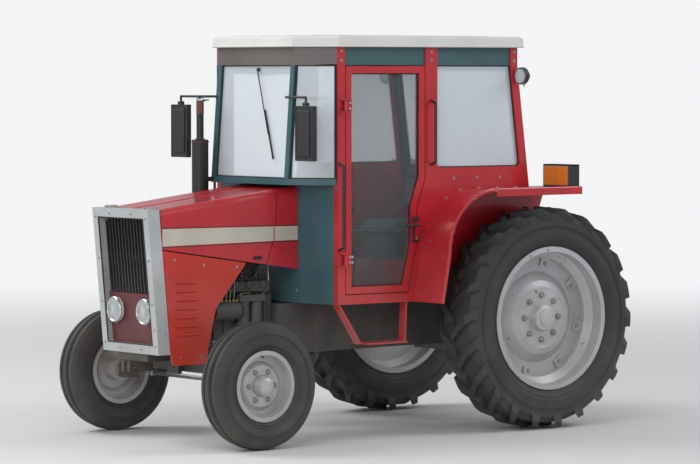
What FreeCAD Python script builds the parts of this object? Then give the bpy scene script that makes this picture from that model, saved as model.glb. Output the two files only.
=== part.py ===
"""Farm tractor: glazed cab, two-wheel drive, open-sided diesel engine, framed nose, rear linkage.

Millimetres. +X is forward, +Y is the tractor's left, +Z is up, and z = 0 is the ground under the tyres.
The origin is on the ground, midway between the nose and the ball ends of the lower links.
"""

import FreeCAD, Part
import math
import os
import re

import Sketcher

V = FreeCAD.Vector
doc = FreeCAD.newDocument("tractor")
sheet = doc.addObject("Spreadsheet::Sheet", "Sizes")

# Driving dimensions: alias, value in millimetres (degrees where the name ends in angle), what it is.
SIZES = [
    ("wheelbase", 2286, "rear axle to front axle"),
    ("rear_axle_back", 935, "origin to rear axle"),
    ("rear_track", 1640, "between the rear tyres' middles"),
    ("rear_tyre_dia", 1475, "over the lugs"),
    ("rear_tyre_width", 350, "at the sidewalls"),
    ("lug_height", 36, "lug over the tread"),
    ("lug_count", 22, "lugs on each half of a rear tyre"),
    ("rear_tyre_wall", 262.5, "rear tyre's height over the rim's flanges"),
    ("rear_flange", 22, "rear rim's flange over the tyre's seat"),
    ("rear_well", 66, "rear rim's flange over its well"),
    ("rear_rim_width", 305, "over the rim's flanges"),
    ("front_track", 1600, "between the front tyres' middles"),
    ("front_tyre_dia", 805, "over the ribs"),
    ("front_tyre_width", 205, "at the sidewalls"),
    ("front_rim_dia", 450, "over the rim's flanges"),
    ("front_rim_width", 150, "over the rim's flanges"),
    ("front_flange", 16, "front rim's flange over the tyre's seat"),
    ("rim_wall", 12, "thickness of a wheel's steel"),
    ("disc_wall", 14, "thickness of a wheel's disc"),
    ("disc_face", 48, "rear disc's bolted face, outside the wheel's middle"),
    ("disc_dish", 12, "rear disc's edge, inside the wheel's middle"),
    ("hub_nose", 96, "rear hub's end, outside the wheel's middle"),
    ("hub_radius", 95, "rear hub"),
    ("front_face", 32, "front disc's bolted face, outside the wheel's middle"),
    ("front_cap", 82, "front hub's end, outside the wheel's middle"),
    ("front_hub_radius", 72, "front hub"),
    ("kingpin_y", 640, "centre plane to kingpin"),
    ("kingpin_radius", 22, "kingpin"),
    ("stub_radius", 30, "front stub axle"),
    ("knuckle_out", 50, "knuckle block beyond the kingpin's axis"),
    ("hub_gap", 14, "front hub's inner end to the knuckle"),
    ("kingpin_sleeve", 190, "front axle's sleeve round a kingpin"),
    ("sleeve_wall", 18, "front axle's sleeve round a kingpin"),
    ("half_shaft_radius", 40, "rear half shaft"),
    ("shaft_reach", 116, "half shaft inside its housing"),
    ("trumpet_end", 606, "centre plane to the axle housing's end"),
    ("trumpet_radius", 82, "axle housing near its end"),
    ("trumpet_root", 112, "axle housing beside the brake"),
    ("brake_radius", 185, "brake drum"),
    ("brake_width", 90, "brake drum, along Y"),
    ("case_half_width", 190, "rear axle's centre housing"),
    ("case_half_height", 250, "rear axle's centre housing"),
    ("case_back", 300, "rear axle to the centre housing's rear face"),
    ("case_ahead", 230, "rear axle to the centre housing's front face"),
    ("gearbox_half_width", 165, "gearbox"),
    ("gearbox_bottom", 530, "gearbox's underside"),
    ("bell_length", 340, "clutch housing"),
    ("bell_half_width", 215, "clutch housing at the engine"),
    ("bell_bottom", 500, "clutch housing's underside at the engine"),
    ("lift_cover_height", 85, "cover of the linkage's lift"),
    ("lift_cover_half", 150, "cover of the linkage's lift"),
    ("running", 0.08, "radial clearance of a shaft in its bore"),
    ("gap", 6, "clearance of a moving panel"),
    ("fit", 0.3, "clearance of a seated piece"),
    ("axle_beam_z", 482, "middle of the front axle beam"),
    ("axle_beam_height", 76, "front axle beam"),
    ("axle_beam_depth", 84, "front axle beam, along X"),
    ("arm_reach", 190, "kingpin to tie rod ball"),
    ("tie_rod_z", 378, "tie rod's axis"),
    ("tie_rod_radius", 14, "tie rod"),
    ("rod_eye_radius", 24, "tie rod's eyes"),
    ("rod_pin_radius", 9, "steering arm's pin"),
    ("axle_pin_radius", 25, "pin the front axle swings on"),
    ("axle_lug", 30, "thickness of the lugs that hold the axle pin"),
    ("axle_lug_gap", 24, "front axle to its lugs"),
    ("engine_rear", 770, "clutch housing to engine joint"),
    ("engine_length", 520, "cylinder block"),
    ("engine_half_width", 150, "cylinder block"),
    ("block_bottom", 600, "cylinder block's underside"),
    ("block_top", 930, "cylinder block's top face"),
    ("head_height", 110, "cylinder head"),
    ("rocker_height", 80, "rocker cover"),
    ("sump_depth", 120, "sump"),
    ("timing_case", 55, "timing case thickness"),
    ("manifold_out", 40, "manifolds outside the block"),
    ("pump_radius", 58, "injection pump"),
    ("pump_length", 200, "injection pump"),
    ("alternator_radius", 72, "alternator"),
    ("alternator_length", 150, "alternator"),
    ("filter_radius", 42, "fuel filters"),
    ("filter_length", 155, "fuel filters"),
    ("starter_radius", 50, "starter"),
    ("starter_length", 230, "starter"),
    ("crank_z", 690, "crankshaft"),
    ("crank_pulley_radius", 82, "crankshaft pulley"),
    ("crank_pulley_width", 30, "crankshaft pulley"),
    ("fan_pulley_radius", 60, "fan pulley"),
    ("fan_pulley_width", 40, "fan pulley"),
    ("fan_z", 905, "fan shaft"),
    ("fan_radius", 215, "over the blades"),
    ("radiator_front", 1540, "radiator's front face"),
    ("radiator_depth", 90, "radiator core"),
    ("radiator_half_width", 245, "radiator"),
    ("radiator_top", 1230, "radiator's header tank"),
    ("shroud_depth", 70, "fan shroud, along X"),
    ("tank_bottom", 1210, "fuel tank"),
    ("tank_top", 1440, "fuel tank"),
    ("tank_half_width", 225, "fuel tank"),
    ("support_top", 580, "front support casting"),
    ("support_depth", 50, "front support casting"),
    ("support_half_width", 170, "front support casting"),
    ("tow_ahead", 14, "tow pin ahead of the nose's foot"),
    ("tow_drop", 70, "tow jaw below the front support"),
    ("tow_half_width", 45, "tow jaw"),
    ("tow_half_gap", 20, "tow jaw's mouth"),
    ("tow_bore_radius", 15, "tow pin's hole"),
    ("bonnet_half_width", 310, "outside"),
    ("bonnet_sheet", 10, "bonnet and panel thickness"),
    ("cowl_rear", 672.3, "rear end of the fixed cowl behind the bonnet"),
    ("swing", 900, "bonnet's rear edge, from its hinge"),
    ("bonnet_rear_top", 1632, "bonnet's top at its rear edge"),
    ("bonnet_rear_bottom", 1090, "bonnet's skirt at its rear edge"),
    ("bonnet_shoulder", 46, "radius along the bonnet's top edges"),
    ("nose_top_x", 1856, "foremost point, at the nose's top"),
    ("nose_lean", 85, "how far the nose's top stands ahead of its foot"),
    ("nose_top", 1500, "nose frame's top"),
    ("nose_bottom", 580, "nose frame's underside"),
    ("nose_depth", 90, "nose frame, along X"),
    ("nose_bar", 60, "nose frame's bar width"),
    ("panel_back", 40, "lamp panel behind the nose frame's front"),
    ("skirt_front_bottom", 1255, "bonnet's skirt at the nose"),
    ("lamp_panel_top", 960, "top of the lamp panel in the nose"),
    ("lamp_z", 850, "headlamps"),
    ("lamp_y", 165, "headlamps off the centre plane"),
    ("lamp_radius", 80, "headlamp"),
    ("lamp_rim", 12, "headlamp's rim over its barrel"),
    ("nose_corner", 20, "radius in the nose frame's opening"),
    ("panel_thick", 12, "lamp panel"),
    ("grille_bars", 15, "upright bars of the grille"),
    ("grille_bar", 9, "width of a grille bar"),
    ("grille_bar_depth", 18, "grille bar, along X"),
    ("bonnet_hinge_y", 215, "middle of each bonnet hinge"),
    ("bonnet_hinge_width", 30, "bonnet's part of a hinge"),
    ("bonnet_pin_radius", 5, "bonnet's hinge pins"),
    ("bonnet_barrel_radius", 9, "bonnet's hinge barrels"),
    ("side_panel_rear_top", 1085, "side panel's rear edge at its top"),
    ("side_panel_rear_bottom", 1402, "side panel's rear edge at its foot"),
    ("side_panel_foot", 510, "side panel's lower edge"),
    ("cab_half_width", 660, "outside of the cab's sides"),
    ("cab_wall", 40, "cab side and door thickness"),
    ("floor_top", 900, "footplate"),
    ("floor_thick", 30, "footplate"),
    ("step_z", 606, "underside of the step"),
    ("step_tread", 12, "step's tread"),
    ("step_bar", 14, "step's hoop, its bar"),
    ("step_width", 60, "step's hoop, along Y"),
    ("riser_back", 100, "seat platform's riser behind the doorway's foot"),
    ("windows_top", 2410, "upper edge of the windows"),
    ("header_height", 120, "header rail over the windows"),
    ("header_inset", 10, "header's sides behind the posts' faces"),
    ("roof_height", 70, "roof cap"),
    ("roof_overhang", 28, "roof cap beyond the header"),
    ("front_post_x", 615, "front face of the door's front post"),
    ("front_post", 60, "front post, along X"),
    ("rear_post_x", -110, "front face of the door's rear post"),
    ("rear_post", 100, "door's rear post, along X"),
    ("cab_rear_top", -900, "rear face of the cab at the windows' top"),
    ("cab_rear_foot", -1005, "rear face of the cab at the fenders"),
    ("corner_post", 60, "cab's rearmost post, along X"),
    ("bulkhead_x", 672, "front face of the wall below the windscreen"),
    ("bulkhead_half", 330, "half the width of that wall's flat middle"),
    ("bulkhead_wall", 16, "that wall's thickness"),
    ("shelf_z", 1640, "underside of the windscreen's sill"),
    ("screen_half_width", 420, "windscreen frame"),
    ("screen_top_x", 760, "windscreen frame's top"),
    ("screen_foot_x", 815, "windscreen frame's foot"),
    ("screen_foot_z", 1680, "windscreen's lower edge"),
    ("pillar", 42, "windscreen pillar"),
    ("glass", 6, "window glass"),
    ("glass_inset", 24, "side windows' inner face behind the cab's side"),
    ("rear_frame", 30, "rear window's frame, along X"),
    ("rear_window_rim", 50, "rear window's frame, round the glass"),
    ("rear_window_head", 30, "rear window's frame above the glass"),
    ("window_corner", 40, "radius of the rear window's corners"),
    ("mirror_z", 2205, "mirror arms"),
    ("mirror_drop", 60, "mirror's top below its arm"),
    ("mirror_height", 340, "mirror head"),
    ("mirror_width", 170, "mirror head"),
    ("mirror_depth", 32, "mirror head"),
    ("mirror_arm_radius", 8, "mirror arm"),
    ("fender_clear", 125, "fender's flat top over the tyre"),
    ("foot_clear", 187.5, "fender's foot ahead of the tyre"),
    ("fender_sheet", 14, "fender"),
    ("fender_rear", 275, "fender's rear end behind the axle"),
    ("fender_bend", 400, "radius of the fender's front bend"),
    ("fender_slope", 60, "fender's foot ahead of its bend"),
    ("arch_wall", 12, "fender's inner wall"),
    ("door_rail", 46, "door frame"),
    ("door_sill", 30, "doorway's foot over the footplate"),
    ("door_slope", 44, "doorway's lower corner ahead of the fender's foot"),
    ("hinge_inset", 260, "door hinges from the footplate and the windows' top"),
    ("door_hinge_radius", 12, "hinge barrel"),
    ("door_pin_radius", 6, "hinge pin"),
    ("door_hinge_out", 20, "hinge axis outside the cab's side"),
    ("steering_x", 230, "steering wheel's middle"),
    ("steering_z", 1500, "steering wheel's middle"),
    ("steering_angle", 35, "column's lean back from upright"),
    ("steering_radius", 200, "steering wheel rim's centre line"),
    ("steering_rim", 14, "radius of the steering wheel's rim itself"),
    ("column_radius", 32, "steering column"),
    ("spindle_radius", 14, "steering spindle"),
    ("dash_top", 1570, "dash at the windscreen"),
    ("dash_low", 1350, "dash below the steering wheel"),
    ("dash_half_width", 230, "dash"),
    ("seat_front", -190, "seat cushion's front edge"),
    ("seat_length", 460, "seat cushion"),
    ("seat_half_width", 240, "seat"),
    ("exhaust_x", 905, "exhaust stack"),
    ("silencer_radius", 55, "silencer"),
    ("silencer_length", 440, "silencer"),
    ("tail_radius", 24, "tail pipe"),
    ("down_pipe_radius", 27, "pipe from the manifold"),
    ("silencer_z", 1480, "silencer's lower end"),
    ("exhaust_top", 2180, "tail pipe's mouth"),
    ("link_end_x", -1818, "lower links' ball centre"),
    ("link_end_y", 415, "lower links' ball centre"),
    ("link_end_z", 400, "lower links' ball centre"),
    ("link_pivot_x", -1060, "lower links' front pins"),
    ("link_pivot_y", 235, "lower links' front pins"),
    ("link_pin_radius", 14, "lower links' front pins"),
    ("link_bracket", 25, "thickness of the lower links' brackets"),
    ("link_thick", 22, "lower link"),
    ("link_tall", 62, "lower link"),
    ("link_ball", 45, "lower link's ball end, along its pin"),
    ("rock_shaft_x", -1200, "lift arms' shaft"),
    ("rock_shaft_radius", 26, "lift arms' shaft"),
    ("lift_arm_y", 235, "lift arms' middle planes"),
    ("lift_arm_thick", 26, "lift arm"),
    ("lift_pin_radius", 10, "lift rods' pins"),
    ("lift_rod_radius", 13, "lift rod"),
    ("lift_arm_length", 260, "lift arms, along X"),
    ("lift_arm_drop", 60, "lift arms' tips below their shaft"),
    ("top_link_x", -1250, "top link's free end, clipped up"),
    ("top_link_z", 1440, "top link's free end, clipped up"),
    ("ball_bore_radius", 14.35, "lower link ball's hole"),
    ("top_link_width", 51, "top link's eyes, along their pins"),
    ("top_link_radius", 16, "top link"),
    ("top_eye_radius", 30, "top link's eyes"),
    ("top_pin_radius", 12.5, "pin that holds the top link"),
    ("top_bore_radius", 12.85, "top link's hole"),
    ("drawbar_half_width", 38, "drawbar"),
    ("drawbar_thick", 30, "drawbar"),
    ("drawbar_drop", 340, "drawbar's underside below the rear axle"),
    ("drawbar_reach", 600, "drawbar's end behind the rear axle"),
    ("drawbar_bore_radius", 16.5, "drawbar pin's hole"),
    ("pto_radius", 17.45, "power take-off shaft"),
    ("pto_length", 90, "power take-off shaft outside the housing"),
    ("pto_drop", 120, "power take-off shaft below the rear axle"),
]

for row, (alias, value, note) in enumerate(SIZES, start=1):
    sheet.set(f"A{row}", alias)
    sheet.set(f"B{row}", str(value))
    sheet.set(f"C{row}", note)
    sheet.setAlias(f"B{row}", alias)
doc.recompute()

ALIASES = {alias for alias, _, _ in SIZES}

# Places that several pieces share, written with the sizes above.
PLACES = {
    "rear_x": "(-rear_axle_back)",
    "front_x": "(wheelbase - rear_axle_back)",
    "rear_z": "(rear_tyre_dia / 2)",
    "front_z": "(front_tyre_dia / 2)",
    "rear_y": "(rear_track / 2)",
    "rear_rim_dia": "(rear_tyre_dia - 2 * rear_tyre_wall)",
    "disc_edge": "(rear_rim_dia * 0.216)",
    "disc_ring": "(rear_rim_dia * 0.316)",
    "front_y": "(front_track / 2)",
    "engine_front": "(engine_rear + engine_length)",
    "case_front": "(engine_rear + engine_length + timing_case)",
    "head_top": "(block_top + head_height)",
    "gearbox_top": "(floor_top - floor_thick - 8)",
    "sleeve_foot": "(front_z + 42)",
    "nose_foot_x": "(nose_top_x - nose_lean)",
    "tow_x": "(nose_foot_x + tow_ahead)",
    "cab_inside": "(cab_half_width - cab_wall)",
    "header_top": "(windows_top + header_height)",
    "fender_top": "(rear_tyre_dia + fender_clear)",
    "fender_foot": "(rear_tyre_dia / 2 + foot_clear)",
    "fender_outer": "(rear_track / 2 + rear_tyre_width / 2 - 35)",
    "fender_inner": "(rear_track / 2 - rear_tyre_width / 2 - 65)",
    "bend_x": "(rear_x + fender_foot - fender_slope)",
    "door_sill_z": "(floor_top + door_sill)",
    "door_foot_x": "(rear_x + fender_foot + door_slope)",
    "door_bend_x": "(rear_x + fender_foot - fender_slope / 2)",
    "wall_corner_x": "(front_post_x - 18.3)",
    "rear_window_low": "(fender_top + rear_window_rim)",
    "rear_window_high": "(windows_top - rear_window_head)",
    "rear_window_half": "(cab_inside - rear_window_rim)",
    "sill_z": "(fender_top + 140)",
    "platform_top": "(rear_z + 382.5)",
    "seat_top": "(platform_top + 260)",
    "seat_back_top": "(seat_top + 380)",
    "link_pivot_z": "(rear_z - 267.5)",
    "rock_shaft_z": "(rear_z + case_half_height + lift_cover_height / 2)",
    "top_pin_x": "(rear_x - case_back - 75)",
    "top_pin_z": "(rear_z + 150)",
    "exhaust_y": "(screen_half_width + 30)",
    "hood_front": "(nose_top_x - nose_depth + 20)",
    "hinge_x": "(front_post_x - front_post + 8)",
    "hinge_y": "(cab_half_width + door_hinge_out)",
    "tilt_x": "(nose_top_x - nose_depth - 20)",
    "tilt_z": "(nose_top + 8)",
}


def bound(expression):
    """The expression with places spelled out and each alias read from the sheet."""
    text = str(expression)
    for _ in range(5):
        text = re.sub(r"[A-Za-z_]\w*", lambda m: PLACES.get(m.group(), m.group()), text)
    return re.sub(
        r"[A-Za-z_]\w*",
        lambda m: f"Sizes.{m.group()}" if m.group() in ALIASES else m.group(),
        text,
    )


def num(expression):
    """The expression's value now."""
    return float(sheet.evalExpression(bound(expression)))


def point(*expressions):
    return V(*[num(e) for e in expressions])


def bind(thing, prop, expression):
    thing.setExpression(prop, bound(expression))


def put(thing, at):
    for letter, expression in zip("xyz", at):
        bind(thing, f"Placement.Base.{letter}", expression)


nodes = {}


def node(name, thing):
    """Marks an object of the document as a sub-part that is written to parts/."""
    thing.Label = name
    nodes[name] = thing
    return thing


def box(name, x, y, z):
    """A block between two faces along each axis."""
    b = doc.addObject("Part::Box", name)
    put(b, (x[0], y[0], z[0]))
    for prop, (low, high) in zip(("Length", "Width", "Height"), (x, y, z)):
        bind(b, prop, f"({high}) - ({low})")
    return b


TURNS = {
    "X": FreeCAD.Rotation(V(0, 1, 0), 90),
    "Y": FreeCAD.Rotation(V(1, 0, 0), -90),
    "Z": FreeCAD.Rotation(),
}


def cylinder(name, axis, at, length, radius):
    """A cylinder that starts at a point and runs along +X, +Y or +Z."""
    c = doc.addObject("Part::Cylinder", name)
    c.Placement = FreeCAD.Placement(V(), TURNS[axis])
    put(c, at)
    bind(c, "Height", length)
    bind(c, "Radius", radius)
    return c


def fuse(name, *things):
    f = doc.addObject("Part::MultiFuse", name)
    f.Shapes = list(things)
    return f


def cut(name, base, *tools):
    c = doc.addObject("Part::Cut", name)
    c.Base = base
    c.Tool = tools[0] if len(tools) == 1 else fuse(f"{name}_tools", *tools)
    return c


def common(name, base, tool):
    c = doc.addObject("Part::Common", name)
    c.Base = base
    c.Tool = tool
    return c


def mirror(name, thing):
    """The same piece on the tractor's other side."""
    m = doc.addObject("Part::Mirroring", name)
    m.Source = thing
    m.Base = V(0, 0, 0)
    m.Normal = V(0, 1, 0)
    return m


def group(name, *things):
    """Separate solids that share a node."""
    c = doc.addObject("Part::Compound", name)
    c.Links = list(things)
    return c


def both_sides(name, thing):
    return group(name, thing, mirror(f"{name}_other", thing))


def solid(name, shape):
    f = doc.addObject("Part::Feature", name)
    f.Shape = shape
    return f


def sketch(body, name, plane, offset="0"):
    """A sketch on a plane of the body's origin; the offset is along the plane's own normal."""
    s = body.newObject("Sketcher::SketchObject", name)
    flat = next(f for f in body.Origin.OriginFeatures if f.Role == plane)
    s.AttachmentSupport = [(flat, "")]
    s.MapMode = "FlatFace"
    bind(s, "AttachmentOffset.Base.z", offset)
    return s


def outline(s, corners):
    """A closed outline. A corner is (x, y), or (x, y, radius) where it is rounded."""
    at = [V(num(c[0]), num(c[1]), 0) for c in corners]
    count = len(corners)
    starts, ends = list(at), list(at)
    for i, corner in enumerate(corners):
        if len(corner) == 3:
            before = (at[i - 1] - at[i]).normalize()
            after = (at[(i + 1) % count] - at[i]).normalize()
            reach = num(corner[2]) / math.tan(before.getAngle(after) / 2)
            ends[i], starts[i] = at[i] + before * reach, at[i] + after * reach
    first = s.GeometryCount
    for i in range(count):
        s.addGeometry(Part.LineSegment(starts[i], ends[(i + 1) % count]), False)
    for i, (x, y, *radius) in enumerate(corners):
        line, last = first + i, first + (i - 1) % count
        if radius:
            inward = (at[i - 1] - at[i]).normalize() + (at[(i + 1) % count] - at[i]).normalize()
            half = (at[i - 1] - at[i]).getAngle(at[(i + 1) % count] - at[i]) / 2
            middle = at[i] + inward.normalize() * (num(radius[0]) / math.sin(half))
            on_arc = middle + (at[i] - middle).normalize() * num(radius[0])
            arc = s.addGeometry(Part.Arc(ends[i], on_arc, starts[i]), False)
            start_first = (s.getPoint(arc, 1) - ends[i]).Length < (s.getPoint(arc, 2) - ends[i]).Length
            s.addConstraint(Sketcher.Constraint("Tangent", last, 2, arc, 1 if start_first else 2))
            s.addConstraint(Sketcher.Constraint("Tangent", arc, 2 if start_first else 1, line, 1))
            n = s.addConstraint(Sketcher.Constraint("Radius", arc, num(radius[0])))
            bind(s, f"Constraints[{n}]", radius[0])
            mark, place = s.addGeometry(Part.Point(at[i]), True), 1
            s.addConstraint(Sketcher.Constraint("PointOnObject", mark, 1, last))
            s.addConstraint(Sketcher.Constraint("PointOnObject", mark, 1, line))
        else:
            s.addConstraint(Sketcher.Constraint("Coincident", last, 2, line, 1))
            mark, place = line, 1
        for kind, expression in (("DistanceX", x), ("DistanceY", y)):
            n = s.addConstraint(Sketcher.Constraint(kind, -1, 1, mark, place, num(expression)))
            bind(s, f"Constraints[{n}]", expression)


# A pad or pocket goes from one offset to another along the plane's normal.
# XZ_Plane's own normal is -Y, so there an offset of v is the plane y = -v.
def plate(name, plane, corners, low, high, holes=()):
    """A body: an outline padded from low to high, with through holes."""
    body = doc.addObject("PartDesign::Body", name)
    start, deep = (low, f"({high}) - ({low})")
    if plane == "XZ_Plane":
        start = f"-({high})"
    s = sketch(body, f"{name}_outline", plane, start)
    outline(s, corners)
    pad = body.newObject("PartDesign::Pad", f"{name}_pad")
    pad.Profile = s
    bind(pad, "Length", deep)
    for i, hole in enumerate(holes):
        doc.recompute()
        h = sketch(body, f"{name}_hole{i}", plane, start)
        outline(h, hole)
        pocket = body.newObject("PartDesign::Pocket", f"{name}_pocket{i}")
        pocket.Profile = h
        pocket.Reversed = True
        bind(pocket, "Length", deep)
    return body


def turned(name, corners, at=("0", "0", "0"), axis="Y"):
    """A body of revolution; corners are (radius, place along the axis)."""
    body = doc.addObject("PartDesign::Body", name)
    plane, line = {
        "Y": ("XY_Plane", "V_Axis"),
        "X": ("XZ_Plane", "H_Axis"),
        "Z": ("XZ_Plane", "V_Axis"),
    }[axis]
    s = sketch(body, f"{name}_profile", plane)
    outline(s, corners if axis != "X" else [(c[1], c[0], *c[2:]) for c in corners])
    r = body.newObject("PartDesign::Revolution", f"{name}_turn")
    r.Profile = s
    r.ReferenceAxis = (s, [line])
    r.Angle = 360
    put(body, at)
    return body


def loft(name, plane, sections, hollows=()):
    """A body lofted between outlines, each (offset, corners), less a loft between hollows."""
    body = doc.addObject("PartDesign::Body", name)
    for kind, outlines in (("AdditiveLoft", sections), ("SubtractiveLoft", hollows)):
        if outlines:
            made = []
            for i, (offset, corners) in enumerate(outlines):
                s = sketch(body, f"{name}_{kind}{i}", plane, offset)
                outline(s, corners)
                made.append(s)
            l = body.newObject(f"PartDesign::{kind}", f"{name}_{kind}")
            l.Profile = made[0]
            l.Sections = made[1:]
            l.Ruled = True
            doc.recompute()
    return body


def quad_loft(first, second):
    """A solid between two loops of four points, for panes and bars that no one plane holds."""
    wires = [Part.makePolygon([*loop, loop[0]]) for loop in (first, second)]
    return Part.makeLoft(wires, True, True)


def bar(start, end, wide, tall):
    """A rectangular bar between two points; wide is across, in the ground plane."""
    along = (end - start).normalize()
    side = V(0, 0, 1).cross(along) if abs(along.z) < 0.9 else V(0, 1, 0)
    side = side.normalize() * (wide / 2)
    up = along.cross(side).normalize() * (tall / 2)
    loops = [[p + side + up, p - side + up, p - side - up, p + side - up] for p in (start, end)]
    return quad_loft(*loops)


def tube(points, radius):
    """A round bar along straight runs, mitred with balls at its corners."""
    shape = None
    for a, b in zip(points, points[1:]):
        run = Part.makeCylinder(radius, (b - a).Length, a, b - a)
        shape = run if shape is None else shape.fuse(run)
    for p in points[1:-1]:
        shape = shape.fuse(Part.makeSphere(radius, p))
    return shape.removeSplitter()


# A lug from the tread's middle out over the shoulder, in sections:
# y and drop of its crest, y and drop of its root, how far it trails round the tyre in degrees, half its width.
LUG = [
    (-10, 0, -10, 44, 0.0, 22),
    (124, 6, 124, 52, 9.4, 25),
    (171, 46, 160, 106, 12.6, 31),
]


def lugs():
    """Every lug of a rear tyre, leading with its inner end."""
    top = num("rear_tyre_dia / 2")
    pitch = 360 / num("lug_count")
    loops = []
    for y_out, drop_out, y_in, drop_in, trail, half in LUG:
        loop = []
        for y, r, wide in ((y_out, top - drop_out, half), (y_in, top - drop_in, half + 8)):
            for side in (1, -1):
                angle = math.radians(-trail) + side * wide / r
                loop.append(V(r * math.sin(angle), y, r * math.cos(angle)))
        loops.append([loop[0], loop[1], loop[3], loop[2]])
    triangles = []
    for a, b in zip(loops, loops[1:]):
        for i in range(4):
            j = (i + 1) % 4
            triangles += [(a[i], a[j], b[j]), (a[i], b[j], b[i])]
    first, last = loops[0], loops[-1]
    triangles += [(first[2], first[1], first[0]), (first[3], first[2], first[0])]
    triangles += [(last[0], last[1], last[2]), (last[0], last[2], last[3])]
    faces = [Part.Face(Part.makePolygon([*corners, corners[0]])) for corners in triangles]
    shell = Part.makeShell(faces)
    shell.sewShape()
    lug = Part.makeSolid(shell)
    if lug.Volume < 0:
        lug.reverse()
    hub = point("rear_x", "rear_y", "rear_z")
    every = []
    for i in range(int(num("lug_count"))):
        for flip, start in ((1, 0), (-1, 0.5)):
            turn = FreeCAD.Rotation(V(0, 1, 0), (i + start) * pitch)
            copy = lug.copy() if flip == 1 else lug.mirror(V(), V(0, 1, 0))
            copy.Placement = FreeCAD.Placement(hub, turn).multiply(copy.Placement)
            every.append(solid(f"lug_{len(every)}", copy))
    return every


# Rear wheels
def rear_wheel():
    half = "rear_tyre_width / 2"
    tread = "rear_tyre_dia / 2 - lug_height"
    bead = "rear_rim_dia / 2 - rear_flange"
    tyre = turned(
        "rear_tyre_casing",
        [
            (f"{bead} + fit", "-(rear_rim_width / 2 - 12 - fit)"),
            ("rear_rim_dia / 2 + fit", "-(rear_rim_width / 2 - 12 - fit)"),
            (f"{bead} + 60", f"-{half} + 8"),
            ("rear_tyre_dia / 2 - 190", f"-{half}"),
            (f"{tread} - 48", f"-{half} + 14"),
            (f"{tread} - 8", f"-{half} + 50"),
            (tread, "0"),
            (f"{tread} - 8", f"{half} - 50"),
            (f"{tread} - 48", f"{half} - 14"),
            ("rear_tyre_dia / 2 - 190", half),
            (f"{bead} + 60", f"{half} - 8"),
            ("rear_rim_dia / 2 + fit", "rear_rim_width / 2 - 12 - fit"),
            (f"{bead} + fit", "rear_rim_width / 2 - 12 - fit"),
        ],
        ("rear_x", "rear_y", "rear_z"),
    )
    lugged = fuse("rear_tyre_lugged", tyre, *lugs())
    rim_r, rim_h = "rear_rim_dia / 2", "rear_rim_width / 2"
    seat = f"{rim_r} - rear_flange"
    well = f"{rim_r} - rear_well"
    rim = turned(
        "rear_rim_ring",
        [
            (rim_r, f"-{rim_h}"),
            (rim_r, f"-{rim_h} + 10"),
            (seat, f"-{rim_h} + 12"),
            (seat, f"-{rim_h} + 80"),
            (well, f"-{rim_h} + 120"),
            (well, f"{rim_h} - 120"),
            (seat, f"{rim_h} - 80"),
            (seat, f"{rim_h} - 12"),
            (rim_r, f"{rim_h} - 10"),
            (rim_r, f"{rim_h}"),
            (f"{seat} - rim_wall", f"{rim_h}"),
            (f"{seat} - rim_wall", f"{rim_h} - 84"),
            (f"{well} - rim_wall", f"{rim_h} - 124"),
            (f"{well} - rim_wall", f"-{rim_h} + 124"),
            (f"{seat} - rim_wall", f"-{rim_h} + 84"),
            (f"{seat} - rim_wall", f"-{rim_h}"),
        ],
        ("rear_x", "rear_y", "rear_z"),
    )
    hub_end = "-(rear_y - trumpet_end - gap)"
    shaft_end = "-(rear_y - trumpet_end + shaft_reach)"
    disc = turned(
        "rear_disc",
        [
            ("0", shaft_end),
            ("half_shaft_radius", shaft_end),
            ("half_shaft_radius", hub_end),
            ("hub_radius", hub_end),
            ("hub_radius", "disc_face - disc_wall"),
            ("disc_edge", "disc_face - disc_wall"),
            ("disc_edge + 33", "disc_face - disc_wall - 12"),
            ("disc_ring", "-disc_dish - disc_wall"),
            (f"{well} - rim_wall + 2", "-disc_dish - disc_wall"),
            (f"{well} - rim_wall + 2", "-disc_dish"),
            ("disc_ring + 4", "-disc_dish"),
            ("disc_edge + 39", "disc_face - 12"),
            ("disc_edge + 3", "disc_face"),
            ("hub_radius - 3", "disc_face"),
            ("hub_radius - 11", "hub_nose - 8"),
            ("hub_radius - 37", "hub_nose"),
            ("0", "hub_nose"),
        ],
        ("rear_x", "rear_y", "rear_z"),
    )
    wheel = fuse("rear_wheel_steel", rim, disc)
    node("tyre_rear_left", lugged)
    node("tyre_rear_right", mirror("tyre_rear_other", lugged))
    node("wheel_rear_left", wheel)
    node("wheel_rear_right", mirror("wheel_rear_other", wheel))


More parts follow.
